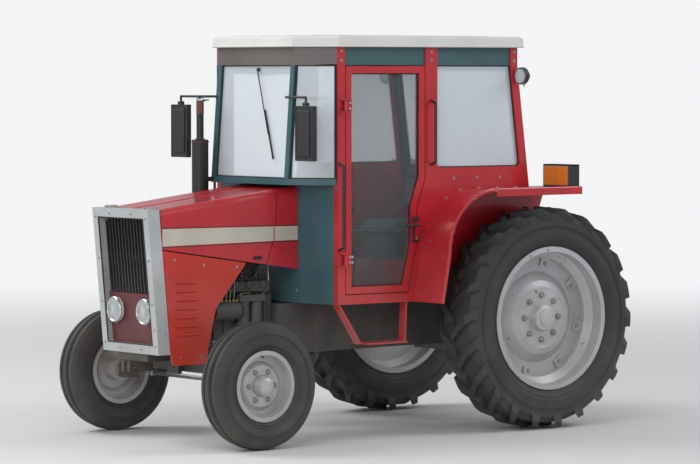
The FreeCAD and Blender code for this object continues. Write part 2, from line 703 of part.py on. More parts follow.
# Front wheels
def front_wheel():
    half = "front_tyre_width / 2"
    tread = "front_tyre_dia / 2"
    bead = "front_rim_dia / 2 - front_flange"
    tyre = turned(
        "front_tyre_casing",
        [
            (f"{bead} + fit", "-(front_rim_width / 2 - 10 - fit)"),
            ("front_rim_dia / 2 + fit", "-(front_rim_width / 2 - 10 - fit)"),
            (f"{bead} + 50", f"-{half} + 6"),
            (f"{tread} - 90", f"-{half}"),
            (f"{tread} - 34", f"-{half} + 16"),
            (f"{tread} - 9", f"-{half} + 34"),
            (f"{tread} - 5", "-42"),
            (f"{tread} - 22", "-38"),
            (f"{tread} - 20", "-22"),
            (tread, "-17"),
            (tread, "17"),
            (f"{tread} - 20", "22"),
            (f"{tread} - 22", "38"),
            (f"{tread} - 5", "42"),
            (f"{tread} - 9", f"{half} - 34"),
            (f"{tread} - 34", f"{half} - 16"),
            (f"{tread} - 90", half),
            (f"{bead} + 50", f"{half} - 6"),
            ("front_rim_dia / 2 + fit", "front_rim_width / 2 - 10 - fit"),
            (f"{bead} + fit", "front_rim_width / 2 - 10 - fit"),
        ],
        ("front_x", "front_y", "front_z"),
    )
    rim_r, rim_h = "front_rim_dia / 2", "front_rim_width / 2"
    seat = f"{rim_r} - front_flange"
    hub_end = "-(front_y - kingpin_y - knuckle_out - hub_gap)"
    rim = turned(
        "front_rim_ring",
        [
            (rim_r, f"-{rim_h}"),
            (rim_r, f"-{rim_h} + 8"),
            (seat, f"-{rim_h} + 10"),
            (seat, f"{rim_h} - 10"),
            (rim_r, f"{rim_h} - 8"),
            (rim_r, f"{rim_h}"),
            (f"{seat} - rim_wall", f"{rim_h}"),
            (f"{seat} - rim_wall", f"-{rim_h}"),
        ],
        ("front_x", "front_y", "front_z"),
    )
    hub = turned(
        "front_hub",
        [
            ("stub_radius + running", hub_end),
            ("front_hub_radius", hub_end),
            ("front_hub_radius", "front_face - disc_wall"),
            ("front_hub_radius + 53", "front_face - disc_wall"),
            ("front_hub_radius + 78", "front_face - disc_wall - 24"),
            (f"{seat} - rim_wall + 2", "front_face - disc_wall - 24"),
            (f"{seat} - rim_wall + 2", "front_face - 24"),
            ("front_hub_radius + 84", "front_face - 24"),
            ("front_hub_radius + 58", "front_face"),
            ("front_hub_radius - 6", "front_face"),
            ("front_hub_radius - 14", "front_cap"),
            ("0", "front_cap"),
            ("0", "front_cap - 16"),
            ("stub_radius + running", "front_cap - 16"),
        ],
        ("front_x", "front_y", "front_z"),
    )
    wheel = fuse("front_wheel_steel", rim, hub)
    node("tyre_front_left", tyre)
    node("tyre_front_right", mirror("tyre_front_other", tyre))
    node("wheel_front_left", wheel)
    node("wheel_front_right", mirror("wheel_front_other", wheel))


# Engine: block, head, sump, timing case and what hangs on them
def engine():
    half = "engine_half_width"
    blocks = [
        ("block", ("engine_rear", "engine_front"), half, ("block_bottom", "block_top")),
        ("head", ("engine_rear + 20", "engine_front - 20"), f"{half} - 20", ("block_top", "head_top")),
        (
            "rocker",
            ("engine_rear + 50", "engine_front - 50"),
            f"{half} - 70",
            ("head_top", "head_top + rocker_height"),
        ),
        (
            "sump",
            ("engine_rear + 40", "engine_front - 40"),
            f"{half} - 30",
            ("block_bottom - sump_depth", "block_bottom"),
        ),
        ("timing", ("engine_front", "case_front"), f"{half} + 20", ("support_top", "block_top + 50")),
    ]
    pieces = [box(f"engine_{n}", x, (f"-({w})", w), z) for n, x, w, z in blocks]
    pieces += [
        box(
            "inlet_manifold",
            ("engine_rear + 40", "engine_front - 60"),
            (f"{half} - 20", f"{half} + manifold_out"),
            ("block_top + 20", "head_top - 25"),
        ),
        box(
            "exhaust_manifold",
            ("engine_rear + 40", "engine_front - 60"),
            (f"-{half} - manifold_out", f"-{half} + 20"),
            ("block_top + 20", "head_top - 25"),
        ),
        cylinder(
            "injection_pump",
            "X",
            ("engine_front - pump_length", f"{half} + pump_radius + 4", "block_top - 95"),
            "pump_length",
            "pump_radius",
        ),
        box(
            "pump_foot",
            ("engine_front - 60", "engine_front"),
            (f"{half}", f"{half} + pump_radius + 4"),
            ("block_top - 130", "block_top - 60"),
        ),
        cylinder(
            "alternator",
            "X",
            ("engine_front + 30 - alternator_length", f"{half} + 60", "head_top - 10"),
            "alternator_length",
            "alternator_radius",
        ),
        box(
            "alternator_arm",
            ("engine_front - 80", "engine_front - 20"),
            (f"{half} - 25", f"{half} + 20"),
            ("block_top + 20", "head_top - 10"),
        ),
        box(
            "filter_head",
            ("engine_rear + 120", "engine_rear + 320"),
            (half, f"{half} + 100"),
            ("block_top - 40", "block_top"),
        ),
        cylinder(
            "crank_pulley",
            "X",
            ("case_front", "0", "crank_z"),
            "crank_pulley_width",
            "crank_pulley_radius",
        ),
        cylinder(
            "fan_pulley",
            "X",
            ("case_front", "0", "fan_z"),
            "fan_pulley_width",
            "fan_pulley_radius",
        ),
        cylinder(
            "fan_hub",
            "X",
            ("case_front + fan_pulley_width", "0", "fan_z"),
            "26",
            "fan_pulley_radius * 0.7",
        ),
        cylinder(
            "starter",
            "X",
            ("engine_rear", f"-{half} - starter_radius - 2", "block_bottom + 90"),
            "starter_length",
            "starter_radius",
        ),
        box(
            "starter_foot",
            ("engine_rear", "engine_rear + 40"),
            (f"-{half} - starter_radius - 2", f"-{half}"),
            ("block_bottom + 50", "block_bottom + 130"),
        ),
    ]
    for i in range(2):
        pieces.append(
            cylinder(
                f"fuel_filter{i}",
                "Z",
                (f"engine_rear + {165 + 100 * i}", f"{half} + filter_radius + 10", "block_top - 190"),
                "filter_length",
                "filter_radius",
            ),
        )
    blades = []
    for i in range(6):
        turn = FreeCAD.Rotation(V(1, 0, 0), 60 * i)
        tilt = FreeCAD.Rotation(V(0, 0, 1), 28)
        blade = Part.makeBox(8, 70, num("fan_radius") - 30, V(-4, -35, 30))
        middle = point("case_front + fan_pulley_width + 13", "0", "fan_z")
        blade.Placement = FreeCAD.Placement(middle, turn.multiply(tilt))
        blades.append(blade)
    fan = solid("fan_blades", blades[0].multiFuse(blades[1:]))
    node("engine", fuse("engine_assembly", *pieces, fan))


# Clutch housing, gearbox and rear axle centre, one bolted casting line
def transmission():
    centre = box(
        "centre_housing",
        ("rear_x - case_back", "rear_x + case_ahead"),
        ("-case_half_width", "case_half_width"),
        ("rear_z - case_half_height", "rear_z + case_half_height"),
    )
    lift_cover = box(
        "lift_cover",
        ("rear_x - case_back", "rear_x + case_ahead - 55"),
        ("-lift_cover_half", "lift_cover_half"),
        ("rear_z + case_half_height", "rear_z + case_half_height + lift_cover_height"),
    )
    def station(x, half, bottom):
        top = "gearbox_top"
        return (x, [(f"-({half})", bottom), (half, bottom), (half, top), (f"-({half})", top)])

    joint = station("engine_rear - bell_length", "gearbox_half_width", "gearbox_bottom")
    gearbox = loft(
        "gearbox",
        "YZ_Plane",
        [station("rear_x + case_ahead", "gearbox_half_width + 5", "gearbox_bottom + 10"), joint],
    )
    bell = loft(
        "clutch_housing",
        "YZ_Plane",
        [joint, station("engine_rear", "bell_half_width", "bell_bottom")],
    )
    pto = cylinder(
        "pto_shaft",
        "X",
        ("rear_x - case_back - pto_length", "0", "rear_z - pto_drop"),
        "pto_length + 40",
        "pto_radius",
    )
    carrier = box(
        "drawbar_hanger",
        ("rear_x - case_back", "rear_x - case_back + 80"),
        ("-60", "60"),
        ("rear_z - drawbar_drop + drawbar_thick", "rear_z - case_half_height"),
    )
    bore = cylinder(
        "rock_shaft_bore",
        "Y",
        ("rock_shaft_x", "-case_half_width - 10", "rock_shaft_z"),
        "(case_half_width + 10) * 2",
        "rock_shaft_radius + running",
    )
    node(
        "transmission",
        cut(
            "transmission_bored",
            fuse("transmission_line", centre, lift_cover, gearbox, bell, pto, carrier),
            bore,
        ),
    )


# Rear axle trumpets: brake drum, tapering housing and the half shaft's bore
def axle_housings():
    trumpet = turned(
        "trumpet",
        [
            ("half_shaft_radius + running", "trumpet_end - shaft_reach - 50"),
            ("half_shaft_radius + running", "trumpet_end"),
            ("trumpet_radius + 22", "trumpet_end"),
            ("trumpet_radius + 22", "trumpet_end - 26"),
            ("trumpet_radius", "trumpet_end - 36"),
            ("trumpet_root", "case_half_width + brake_width + 10"),
            ("brake_radius", "case_half_width + brake_width"),
            ("brake_radius", "case_half_width"),
            ("0", "case_half_width"),
            ("0", "trumpet_end - shaft_reach - 50"),
        ],
        ("rear_x", "0", "rear_z"),
    )
    node("axle_housings", both_sides("trumpets", trumpet))


# Front support, axle beam, knuckles and tie rod
def front_axle():
    low = "support_top - support_depth"
    lug_near = "axle_beam_depth / 2 + axle_lug_gap"
    lug_far = f"{lug_near} + axle_lug"
    plate_ = box(
        "support_plate",
        ("case_front - 85", "nose_foot_x - 10"),
        ("-support_half_width", "support_half_width"),
        (low, "support_top"),
    )
    front_lug = box(
        "front_lug",
        (f"front_x + {lug_near}", f"front_x + {lug_far}"),
        ("-60", "60"),
        ("axle_beam_z - 52", low),
    )
    rear_lug = box(
        "rear_lug",
        (f"front_x - ({lug_far})", f"front_x - ({lug_near})"),
        ("-60", "60"),
        ("axle_beam_z - 52", low),
    )
    pin = cylinder(
        "axle_pin",
        "X",
        (f"front_x - ({lug_far}) - 4", "0", "axle_beam_z"),
        f"({lug_far}) * 2 + 8",
        "axle_pin_radius",
    )
    tow = box(
        "tow_jaw",
        ("nose_foot_x - 140", "tow_x + tow_bore_radius + 12"),
        ("-tow_half_width", "tow_half_width"),
        (f"{low} - tow_drop", low),
    )
    tow_hole = cylinder(
        "tow_hole",
        "Y",
        ("tow_x", "-tow_half_width - 5", f"{low} - tow_drop / 2"),
        "tow_half_width * 2 + 10",
        "tow_bore_radius",
    )
    tow_slot = box(
        "tow_slot",
        ("tow_x - tow_bore_radius - 30", "tow_x + tow_bore_radius + 20"),
        ("-tow_half_gap", "tow_half_gap"),
        (f"{low} - tow_drop - 5", low),
    )
    node(
        "front_support",
        cut(
            "support_casting",
            fuse("support_blank", plate_, front_lug, rear_lug, pin, tow),
            tow_hole,
            tow_slot,
        ),
    )

    depth, height = "axle_beam_depth / 2", "axle_beam_height / 2"
    beam = box(
        "beam",
        (f"front_x - {depth}", f"front_x + {depth}"),
        ("-(kingpin_y - 90)", "kingpin_y - 90"),
        (f"axle_beam_z - {height}", f"axle_beam_z + {height}"),
    )
    boss = cylinder(
        "beam_boss",
        "X",
        (f"front_x - {depth} - 22", "0", "axle_beam_z"),
        "axle_beam_depth + 44",
        "42",
    )
    ends = []
    for i, side in enumerate((1, -1)):
        low_y, high_y = ("kingpin_y - 170", "kingpin_y - 20") if side > 0 else (
            "-(kingpin_y - 20)",
            "-(kingpin_y - 170)",
        )
        ends.append(
            box(
                f"beam_arm{i}",
                (f"front_x - {depth} + 12", f"front_x + {depth} - 12"),
                (low_y, high_y),
                (f"axle_beam_z - {height} + 8", f"axle_beam_z + {height} - 8"),
            ),
        )
        ends.append(
            cylinder(
                f"kingpin_sleeve{i}",
                "Z",
                ("front_x", f"{side} * kingpin_y", "sleeve_foot"),
                "kingpin_sleeve",
                "kingpin_radius + sleeve_wall",
            ),
        )
    bores = [
        cylinder(
            f"kingpin_bore{i}",
            "Z",
            ("front_x", f"{side} * kingpin_y", "front_z"),
            "300",
            "kingpin_radius + running",
        )
        for i, side in enumerate((1, -1))
    ]
    bores.append(
        cylinder(
            "pin_bore",
            "X",
            (f"front_x - {depth} - 60", "0", "axle_beam_z"),
            "axle_beam_depth + 120",
            "axle_pin_radius",
        ),
    )
    node("front_axle", cut("axle_beam", fuse("beam_blank", beam, boss, *ends), *bores))

    kingpin = cylinder(
        "kingpin",
        "Z",
        ("front_x", "kingpin_y", "sleeve_foot - 12"),
        "kingpin_sleeve + 32",
        "kingpin_radius",
    )
    cap = cylinder(
        "kingpin_cap",
        "Z",
        ("front_x", "kingpin_y", "sleeve_foot + kingpin_sleeve + 2"),
        "24",
        "kingpin_radius + 14",
    )
    block = box(
        "knuckle_block",
        ("front_x - 45", "front_x + 45"),
        ("kingpin_y - 45", "kingpin_y + knuckle_out"),
        ("front_z - 42", "sleeve_foot - 2"),
    )
    stub = cylinder(
        "stub",
        "Y",
        ("front_x", "kingpin_y + 40", "front_z"),
        "front_y - kingpin_y + 10",
        "stub_radius",
    )
    arm = box(
        "steering_arm",
        ("front_x - arm_reach - 26", "front_x - 40"),
        ("kingpin_y - 26", "kingpin_y + 26"),
        ("tie_rod_z + tie_rod_radius + 6", "tie_rod_z + tie_rod_radius + 28"),
    )
    ball = cylinder(
        "arm_pin",
        "Z",
        ("front_x - arm_reach", "kingpin_y", "tie_rod_z - tie_rod_radius - 4"),
        "tie_rod_radius * 2 + 20",
        "rod_pin_radius",
    )
    knuckle = fuse("knuckle", kingpin, cap, block, stub, arm, ball)
    node("knuckle_left", knuckle)
    node("knuckle_right", mirror("knuckle_other", knuckle))

    rod = cylinder(
        "rod",
        "Y",
        ("front_x - arm_reach", "-kingpin_y + 10", "tie_rod_z"),
        "(kingpin_y - 10) * 2",
        "tie_rod_radius",
    )
    eyes = [
        cylinder(
            f"rod_eye{i}",
            "Z",
            ("front_x - arm_reach", f"{side} * kingpin_y", "tie_rod_z - tie_rod_radius - 3"),
            "tie_rod_radius * 2 + 6",
            "rod_eye_radius",
        )
        for i, side in enumerate((1, -1))
    ]
    holes = [
        cylinder(
            f"eye_hole{i}",
            "Z",
            ("front_x - arm_reach", f"{side} * kingpin_y", "tie_rod_z - 40"),
            "80",
            "rod_pin_radius + running",
        )
        for i, side in enumerate((1, -1))
    ]
    node("tie_rod", cut("tie_rod_bar", fuse("tie_rod_blank", rod, *eyes), *holes))


# Radiator with its shroud, on the front support; fuel tank over the engine
def radiator():
    back = "radiator_front - radiator_depth"
    half = "radiator_half_width"
    core = box("core", (back, "radiator_front"), (f"-{half}", half), ("support_top", "radiator_top"))
    shroud = box(
        "shroud",
        (f"{back} - shroud_depth", back),
        (f"-{half} + 15", f"{half} - 15"),
        ("fan_z - fan_radius - 20", "fan_z + fan_radius + 20"),
    )
    mouth = cylinder(
        "shroud_mouth",
        "X",
        (f"{back} - shroud_depth - 10", "0", "fan_z"),
        "shroud_depth + 10",
        "fan_radius + 12",
    )
    cap = cylinder("radiator_cap", "Z", (f"{back} + 45", "0", "radiator_top"), "26", "34")
    node("radiator", fuse("radiator_all", core, cut("fan_shroud", shroud, mouth), cap))
    tank = plate(
        "tank",
        "YZ_Plane",
        [
            ("-tank_half_width", "tank_bottom", "40"),
            ("tank_half_width", "tank_bottom", "40"),
            ("tank_half_width", "tank_top", "60"),
            ("-tank_half_width", "tank_top", "60"),
        ],
        "engine_rear + 40",
        "engine_front - 130",
    )
    straps = [
        box(
            f"tank_strap{i}",
            (f"engine_rear + {110 + 200 * i}", f"engine_rear + {140 + 200 * i}"),
            ("-80", "80"),
            ("head_top + rocker_height", "tank_bottom"),
        )
        for i in range(2)
    ]
    node("fuel_tank", fuse("fuel_tank_all", tank, *straps))


# Bonnet, fixed cowl, leaning nose frame, lamp panel, grille and headlamps
def nose_x(z, ahead="0"):
    """The leaning front plane of the nose at a height."""
    return f"(nose_top_x - nose_lean * (nose_top - ({z})) / (nose_top - nose_bottom) + ({ahead}))"


def leaning(low, high, back, front):
    """A slab's side view between two heights, parallel to the nose's front plane."""
    return [
        (nose_x(low, back), low),
        (nose_x(low, front), low),
        (nose_x(high, front), high),
        (nose_x(high, back), high),
    ]


def skirt_z(x):
    """The bonnet's lower edge at a place along X."""
    share = f"(({x}) - cowl_rear) / (hood_front - cowl_rear)"
    return f"(bonnet_rear_bottom + (skirt_front_bottom - bonnet_rear_bottom) * {share})"


def hood():
    """Bonnet and cowl in one: a sheet shell from the cab's wall to the nose."""
    w, t, r = "bonnet_half_width", "bonnet_sheet", "bonnet_shoulder"
    ends = [
        ("cowl_rear", "bonnet_rear_top", "bonnet_rear_bottom"),
        ("hood_front", "nose_top - 6", "skirt_front_bottom"),
    ]

    def section(half, top, bottom, radius):
        return [
            (f"-({half})", bottom),
            (f"-({half})", top, radius),
            (half, top, radius),
            (half, bottom),
        ]

    outside = [(x, section(w, top, bottom, r)) for x, top, bottom in ends]
    inside = [
        (x, section(f"{w} - {t}", f"{top} - {t}", f"{bottom} - 300", f"{r} - {t}"))
        for x, top, bottom in ends
    ]
    return loft("hood_shell", "YZ_Plane", outside, inside)


def bonnet():
    """The tilting bonnet and the fixed cowl behind it, parted along an arc about the bonnet's hinge."""
    shell = hood()
    ahead = [
        (nose_x("nose_top + 40", "-nose_depth - gap"), "nose_top + 40"),
        (nose_x("nose_bottom", "-nose_depth - gap"), "nose_bottom"),
        ("nose_top_x + 300", "nose_bottom"),
        ("nose_top_x + 300", "nose_top + 40"),
    ]
    nose_gap = plate("nose_clearance", "XZ_Plane", ahead, "-500", "500")
    sweep = cylinder("bonnet_sweep", "Y", ("tilt_x", "-500", "tilt_z"), "1000", "swing")
    cowl_sweep = cylinder("cowl_sweep", "Y", ("tilt_x", "-500", "tilt_z"), "1000", "swing + gap")
    node("cowl", cut("cowl_sheet", shell, cowl_sweep))
    knuckles, bores = [], []
    half_hinge = "bonnet_hinge_width / 2"
    for i, y in enumerate((f"(bonnet_hinge_y - {half_hinge})", f"(-bonnet_hinge_y - {half_hinge})")):
        knuckles.append(
            cylinder(
                f"bonnet_barrel{i}",
                "Y",
                ("tilt_x", y, "tilt_z"),
                "bonnet_hinge_width",
                "bonnet_barrel_radius",
            ),
        )
        knuckles.append(
            box(
                f"bonnet_strap{i}",
                ("tilt_x - 30", "tilt_x"),
                (y, f"{y} + bonnet_hinge_width"),
                ("tilt_z - bonnet_barrel_radius - 5", "tilt_z - 5"),
            ),
        )
        bores.append(
            cylinder(
                f"bonnet_bore{i}",
                "Y",
                ("tilt_x", f"{y} - 10", "tilt_z"),
                "bonnet_hinge_width + 20",
                "bonnet_pin_radius + running",
            ),
        )
    hinge = cut("bonnet_hinge", fuse("bonnet_hinge_blank", *knuckles), *bores)
    leaf = cut("bonnet_leaf", common("bonnet_swept", shell, sweep), nose_gap)
    node("bonnet", fuse("bonnet_hinged", leaf, hinge))


def nose():
    """Nose frame with the bonnet's hinge eyes, the lamp panel and grille in its opening, the headlamps."""
    w = "bonnet_half_width"
    low, high = "nose_bottom + nose_bar", "nose_top - nose_bar"
    frame = plate(
        "nose_block",
        "XZ_Plane",
        leaning("nose_bottom", "nose_top", "-nose_depth", "0"),
        f"-{w}",
        w,
    )
    open_half = f"({w} - nose_bar)"
    opening = plate(
        "nose_opening",
        "YZ_Plane",
        [
            (f"-{open_half}", low, "nose_corner"),
            (open_half, low, "nose_corner"),
            (open_half, high, "nose_corner"),
            (f"-{open_half}", high, "nose_corner"),
        ],
        "nose_top_x - 400",
        "nose_top_x + 100",
    )
    leaves = []
    near, far = "bonnet_hinge_width / 2 + 4", "bonnet_hinge_width / 2 + 12"
    eyes = (
        (f"(bonnet_hinge_y - ({far}))", "bonnet_hinge_width + 20"),
        (f"(bonnet_hinge_y + {near})", ""),
        (f"(-bonnet_hinge_y + {near})", ""),
        (f"(-bonnet_hinge_y - ({far}))", "bonnet_hinge_width + 24"),
    )
    for i, (y, pin) in enumerate(eyes):
        leaves.append(
            box(
                f"nose_leaf{i}",
                ("tilt_x", "tilt_x + 60"),
                (y, f"{y} + 8"),
                ("nose_top", "tilt_z + 6"),
            ),
        )
        leaves.append(cylinder(f"nose_eye{i}", "Y", ("tilt_x", y, "tilt_z"), "8", "7.5"))
        if pin:
            leaves.append(
                cylinder(f"nose_pin{i}", "Y", ("tilt_x", y, "tilt_z"), pin, "bonnet_pin_radius"),
            )
    node("nose_frame", fuse("nose_hinged", cut("nose_surround", frame, opening), *leaves))

    half = f"({open_half} - fit)"
    slab = plate(
        "lamp_slab",
        "XZ_Plane",
        leaning(f"{low} + fit", "lamp_panel_top", "-panel_back - panel_thick", "-panel_back"),
        f"-{half}",
        half,
    )
    face = plate(
        "lamp_panel_face",
        "YZ_Plane",
        [
            (f"-{half}", f"{low} + fit", "nose_corner"),
            (half, f"{low} + fit", "nose_corner"),
            (half, "lamp_panel_top"),
            (f"-{half}", "lamp_panel_top"),
        ],
        "nose_top_x - 400",
        "nose_top_x + 100",
    )
    holes = [
        cylinder(
            f"lamp_hole{i}",
            "X",
            (nose_x("lamp_z", "-panel_back - 60"), f"{side} * lamp_y", "lamp_z"),
            "120",
            "lamp_radius - lamp_rim + fit",
        )
        for i, side in enumerate((1, -1))
    ]
    node("nose_panel", cut("lamp_panel", common("lamp_panel_blank", slab, face), *holes))

    back = "-panel_back - 24"
    rails = []
    for name, z in (
        ("low", "lamp_panel_top + 2"),
        ("middle", "(lamp_panel_top + nose_top) / 2 - 40"),
        ("high", f"{high} - 46"),
    ):
        rails.append(
            box(
                f"grille_rail_{name}",
                (nose_x(z, f"{back} - 6"), nose_x(z, f"{back} + 4")),
                (f"-{half}", half),
                (z, f"{z} + 20"),
            ),
        )
    bars = []
    count = int(num("grille_bars"))
    for i in range(count):
        y = f"(2 * {i} / {count - 1} - 1) * ({half} - 10)"
        crest = f"{high} - 4" if abs(num(y)) < num(half) - 28 else f"{high} - 26"
        foot = point(nose_x("lamp_panel_top + 2", f"{back} + 6"), y, "lamp_panel_top + 2")
        head = point(nose_x(crest, f"{back} + 6"), y, crest)
        bars.append(
            solid(f"grille_bar{i}", bar(foot, head, num("grille_bar"), num("grille_bar_depth"))),
        )
    node("grille", fuse("grille_all", *rails, *bars))

    barrel = "lamp_radius - lamp_rim"
    lamp = turned(
        "headlamp",
        [
            ("0", "-60"),
            ("40", "-60"),
            (barrel, "-8"),
            (barrel, "10"),
            ("lamp_radius", "10"),
            ("lamp_radius", "28"),
            (barrel, "34"),
            ("0", "42"),
        ],
        (nose_x("lamp_z", "-panel_back"), "lamp_y", "lamp_z"),
        axis="X",
    )
    return both_sides("headlamp_pair", lamp)


def side_panels():
    """Fixed panels beside the radiator, cut back in steps to leave the engine open."""
    w, t = "bonnet_half_width", "bonnet_sheet"
    front_top = nose_x("skirt_front_bottom", "-nose_depth - gap")
    side = plate(
        "side_panel",
        "XZ_Plane",
        [
            (nose_x("side_panel_foot", "-nose_depth - gap"), "side_panel_foot", "40"),
            (front_top, f"{skirt_z(front_top)} - 8"),
            ("side_panel_rear_top", f"{skirt_z('side_panel_rear_top')} - 8"),
            ("side_panel_rear_top + 240", "block_top - 70", "80"),
            ("side_panel_rear_bottom - 17", "block_bottom + 20", "60"),
            ("side_panel_rear_bottom", "side_panel_foot", "25"),
        ],
        f"{w} - {t}",
        w,
    )
    brackets = [
        box(
            f"panel_bracket{i}",
            ("radiator_front - 60", "radiator_front - 20"),
            ("radiator_half_width", f"{w} - {t}"),
            (z, f"{z} + 30"),
        )
        for i, z in enumerate(("radiator_top - 430", "radiator_top - 110"))
    ]
    node("side_panels", both_sides("side_panel_pair", fuse("side_panel_left", side, *brackets)))


# Envelope under the rear fender's outer surface, which trims the cab's sides and doors
def fender_outline(grow="0", tail="fender_rear"):
    """The fender's outer line: flat top, quarter bend, sloping front."""
    return [
        (f"rear_x - ({tail})", f"fender_top + {grow}"),
        (f"bend_x + {grow}", f"fender_top + {grow}", f"fender_bend + {grow}"),
        (f"bend_x + {grow}", f"fender_top - fender_bend + {grow}", "200"),
        (f"rear_x + fender_foot + {grow}", "floor_top - floor_thick"),
    ]


def fenders():
    outer = fender_outline()
    inner = [
        ("rear_x + fender_foot - fender_sheet", "floor_top - floor_thick"),
        ("bend_x - fender_sheet", "fender_top - fender_bend - fender_sheet", "200"),
        (
            "bend_x - fender_sheet",
            "fender_top - fender_sheet",
            "fender_bend - fender_sheet",
        ),
        ("rear_x - fender_rear", "fender_top - fender_sheet"),
    ]
    sheet_ = plate("fender_sheet_metal", "XZ_Plane", outer + inner, "fender_inner", "fender_outer")
    wall = plate(
        "arch_wall",
        "XZ_Plane",
        fender_outline() + [
            ("rear_x + fender_foot - 80", "floor_top - floor_thick"),
            ("rear_x + fender_foot - 200", "platform_top - floor_thick"),
            ("rear_x - fender_rear + 190", "platform_top - floor_thick"),
        ],
        "fender_inner",
        "fender_inner + arch_wall",
    )
    lip = box(
        "fender_lip",
        ("rear_x - fender_rear", "bend_x - fender_bend"),
        ("fender_outer - 12", "fender_outer"),
        ("fender_top - 46", "fender_top - 2"),
    )
    node("fenders", both_sides("fender_pair", fuse("fender_left", sheet_, wall, lip)))


# Cab: sides with their posts, floor with the steps, header ring, roof cap, front wall and rear frame
def cab_sides():
    half, inside = "cab_half_width", "cab_inside"
    front = "front_post_x - front_post"
    back = "rear_post_x - rear_post"
    env = plate(
        "fender_envelope",
        "XZ_Plane",
        fender_outline("fit", "fender_rear + 400") + [
            ("rear_x - fender_rear - 400", "floor_top - floor_thick"),
        ],
        "fender_inner - 50",
        "fender_outer",
    )
    doorway = [
        (front, "windows_top + 10"),
        (front, "door_sill_z"),
        ("door_foot_x", "door_sill_z"),
        ("door_bend_x", "fender_top - fender_bend + 40", "200"),
        ("door_bend_x", "fender_top - 130", "60"),
        ("rear_post_x", "fender_top + 70", "60"),
        ("rear_post_x", "windows_top + 10"),
    ]
    quarter = [
        (back, "windows_top + 10"),
        (back, "sill_z", "30"),
        (f"cab_rear_foot + corner_post + {rear_lean('sill_z')}", "sill_z", "30"),
        ("cab_rear_top + corner_post", "windows_top + 10"),
    ]
    sheet_ = plate(
        "cab_side_sheet",
        "XZ_Plane",
        [
            ("front_post_x", "windows_top"),
            ("front_post_x", "floor_top - floor_thick"),
            ("rear_x + fender_foot - 100", "floor_top - floor_thick"),
            ("rear_x + 100", "fender_top - 300"),
            ("cab_rear_foot", "fender_top - 100"),
            ("cab_rear_foot", "fender_top"),
            ("cab_rear_top", "windows_top"),
        ],
        inside,
        half,
        [doorway, quarter],
    )
    pieces = [cut("cab_side_trim", sheet_, env)]
    posts = (
        (front, "front_post_x"),
        (back, "rear_post_x"),
        ("cab_rear_top", "cab_rear_top + corner_post"),
    )
    for i, post in enumerate(posts):
        pieces.append(
            box(
                f"post_head{i}",
                post,
                (f"{half} - header_inset + fit", half),
                ("windows_top", "header_top"),
            ),
        )
    for i, z in enumerate(("floor_top + hinge_inset", "windows_top - hinge_inset")):
        pieces.append(
            cylinder(
                f"hinge_pin{i}",
                "Z",
                ("hinge_x", "hinge_y", f"{z} - 46"),
                "92",
                "door_pin_radius",
            ),
        )
        for j, leaf_z in enumerate((f"{z} - 46", f"{z} + 36")):
            pieces.append(
                box(
                    f"hinge_leaf{i}{j}",
                    ("hinge_x - 12", "hinge_x + 40"),
                    (half, "hinge_y + 12"),
                    (leaf_z, f"{leaf_z} + 10"),
                ),
            )
    node("cab_sides", both_sides("cab_side_pair", fuse("cab_side_left", *pieces)))


def rear_lean(z):
    """How far the cab's rear face stands ahead of its foot at a height."""
    return f"((cab_rear_top - cab_rear_foot) * (({z}) - fender_top) / (windows_top - fender_top))"


def cab_floor():
    """Footplate, seat platform with its riser, and a hoop with a tread under each door."""
    low, half, inner = "floor_top - floor_thick", "(cab_inside - fit)", "(fender_inner - fit)"
    wall = "bulkhead_x - bulkhead_wall - fit"
    foot_x = "rear_x + fender_foot"
    footplate = plate(
        "footplate",
        "XY_Plane",
        [
            (f"{foot_x} + fit", f"-{half}"),
            ("wall_corner_x - fit", f"-{half}"),
            (wall, "-(bulkhead_half - 2)"),
            (wall, "bulkhead_half - 2"),
            ("wall_corner_x - fit", half),
            (f"{foot_x} + fit", half),
        ],
        low,
        "floor_top",
    )
    blocks = [
        ("footplate_rear", (f"{foot_x} - riser_back", f"{foot_x} + fit"), (low, "floor_top")),
        (
            "platform",
            ("cab_rear_foot + rear_frame", f"{foot_x} - riser_back - floor_thick"),
            ("platform_top - floor_thick", "platform_top"),
        ),
        (
            "riser",
            (f"{foot_x} - riser_back - floor_thick", f"{foot_x} - riser_back"),
            (low, "platform_top"),
        ),
    ]
    plates = [footplate] + [box(name, x, (f"-{inner}", inner), z) for name, x, z in blocks]
    hoop = plate(
        "step_hoop",
        "XZ_Plane",
        [
            ("front_post_x - 9", low),
            ("front_post_x - 190", "step_z", "30"),
            (f"{foot_x} + 56", "step_z", "30"),
            (f"{foot_x} + 44", low),
            (f"{foot_x} + 44 + step_bar", low),
            (f"{foot_x} + 55 + step_bar", "step_z + step_bar", "18"),
            ("front_post_x - 184 - step_bar", "step_z + step_bar", "18"),
            ("front_post_x - 26", low),
        ],
        "cab_half_width - step_width - 10",
        "cab_half_width - 10",
    )
    tread = box(
        "step_tread",
        (f"{foot_x} + 80", "front_post_x - 215"),
        ("cab_half_width - 130", "cab_half_width + 40"),
        ("step_z", "step_z + step_tread"),
    )
    step = fuse("step", hoop, tread)
    node("cab_floor", fuse("cab_floor_all", *plates, step, mirror("step_other", step)))


def roof_plan(out, side="0"):
    """The cab's plan, its front corners cut off, grown outwards; its sides alone may stand further in."""
    half = f"(cab_half_width + ({out}) - ({side}))"
    return [
        (f"screen_top_x + pillar / 2 + ({out})", f"-(screen_half_width + ({out}) / 2)"),
        (f"screen_top_x + pillar / 2 + ({out})", f"screen_half_width + ({out}) / 2"),
        (f"front_post_x + ({out}) / 2", half),
        (f"cab_rear_top - ({out})", half),
        (f"cab_rear_top - ({out})", f"-{half}"),
        (f"front_post_x + ({out}) / 2", f"-{half}"),
    ]


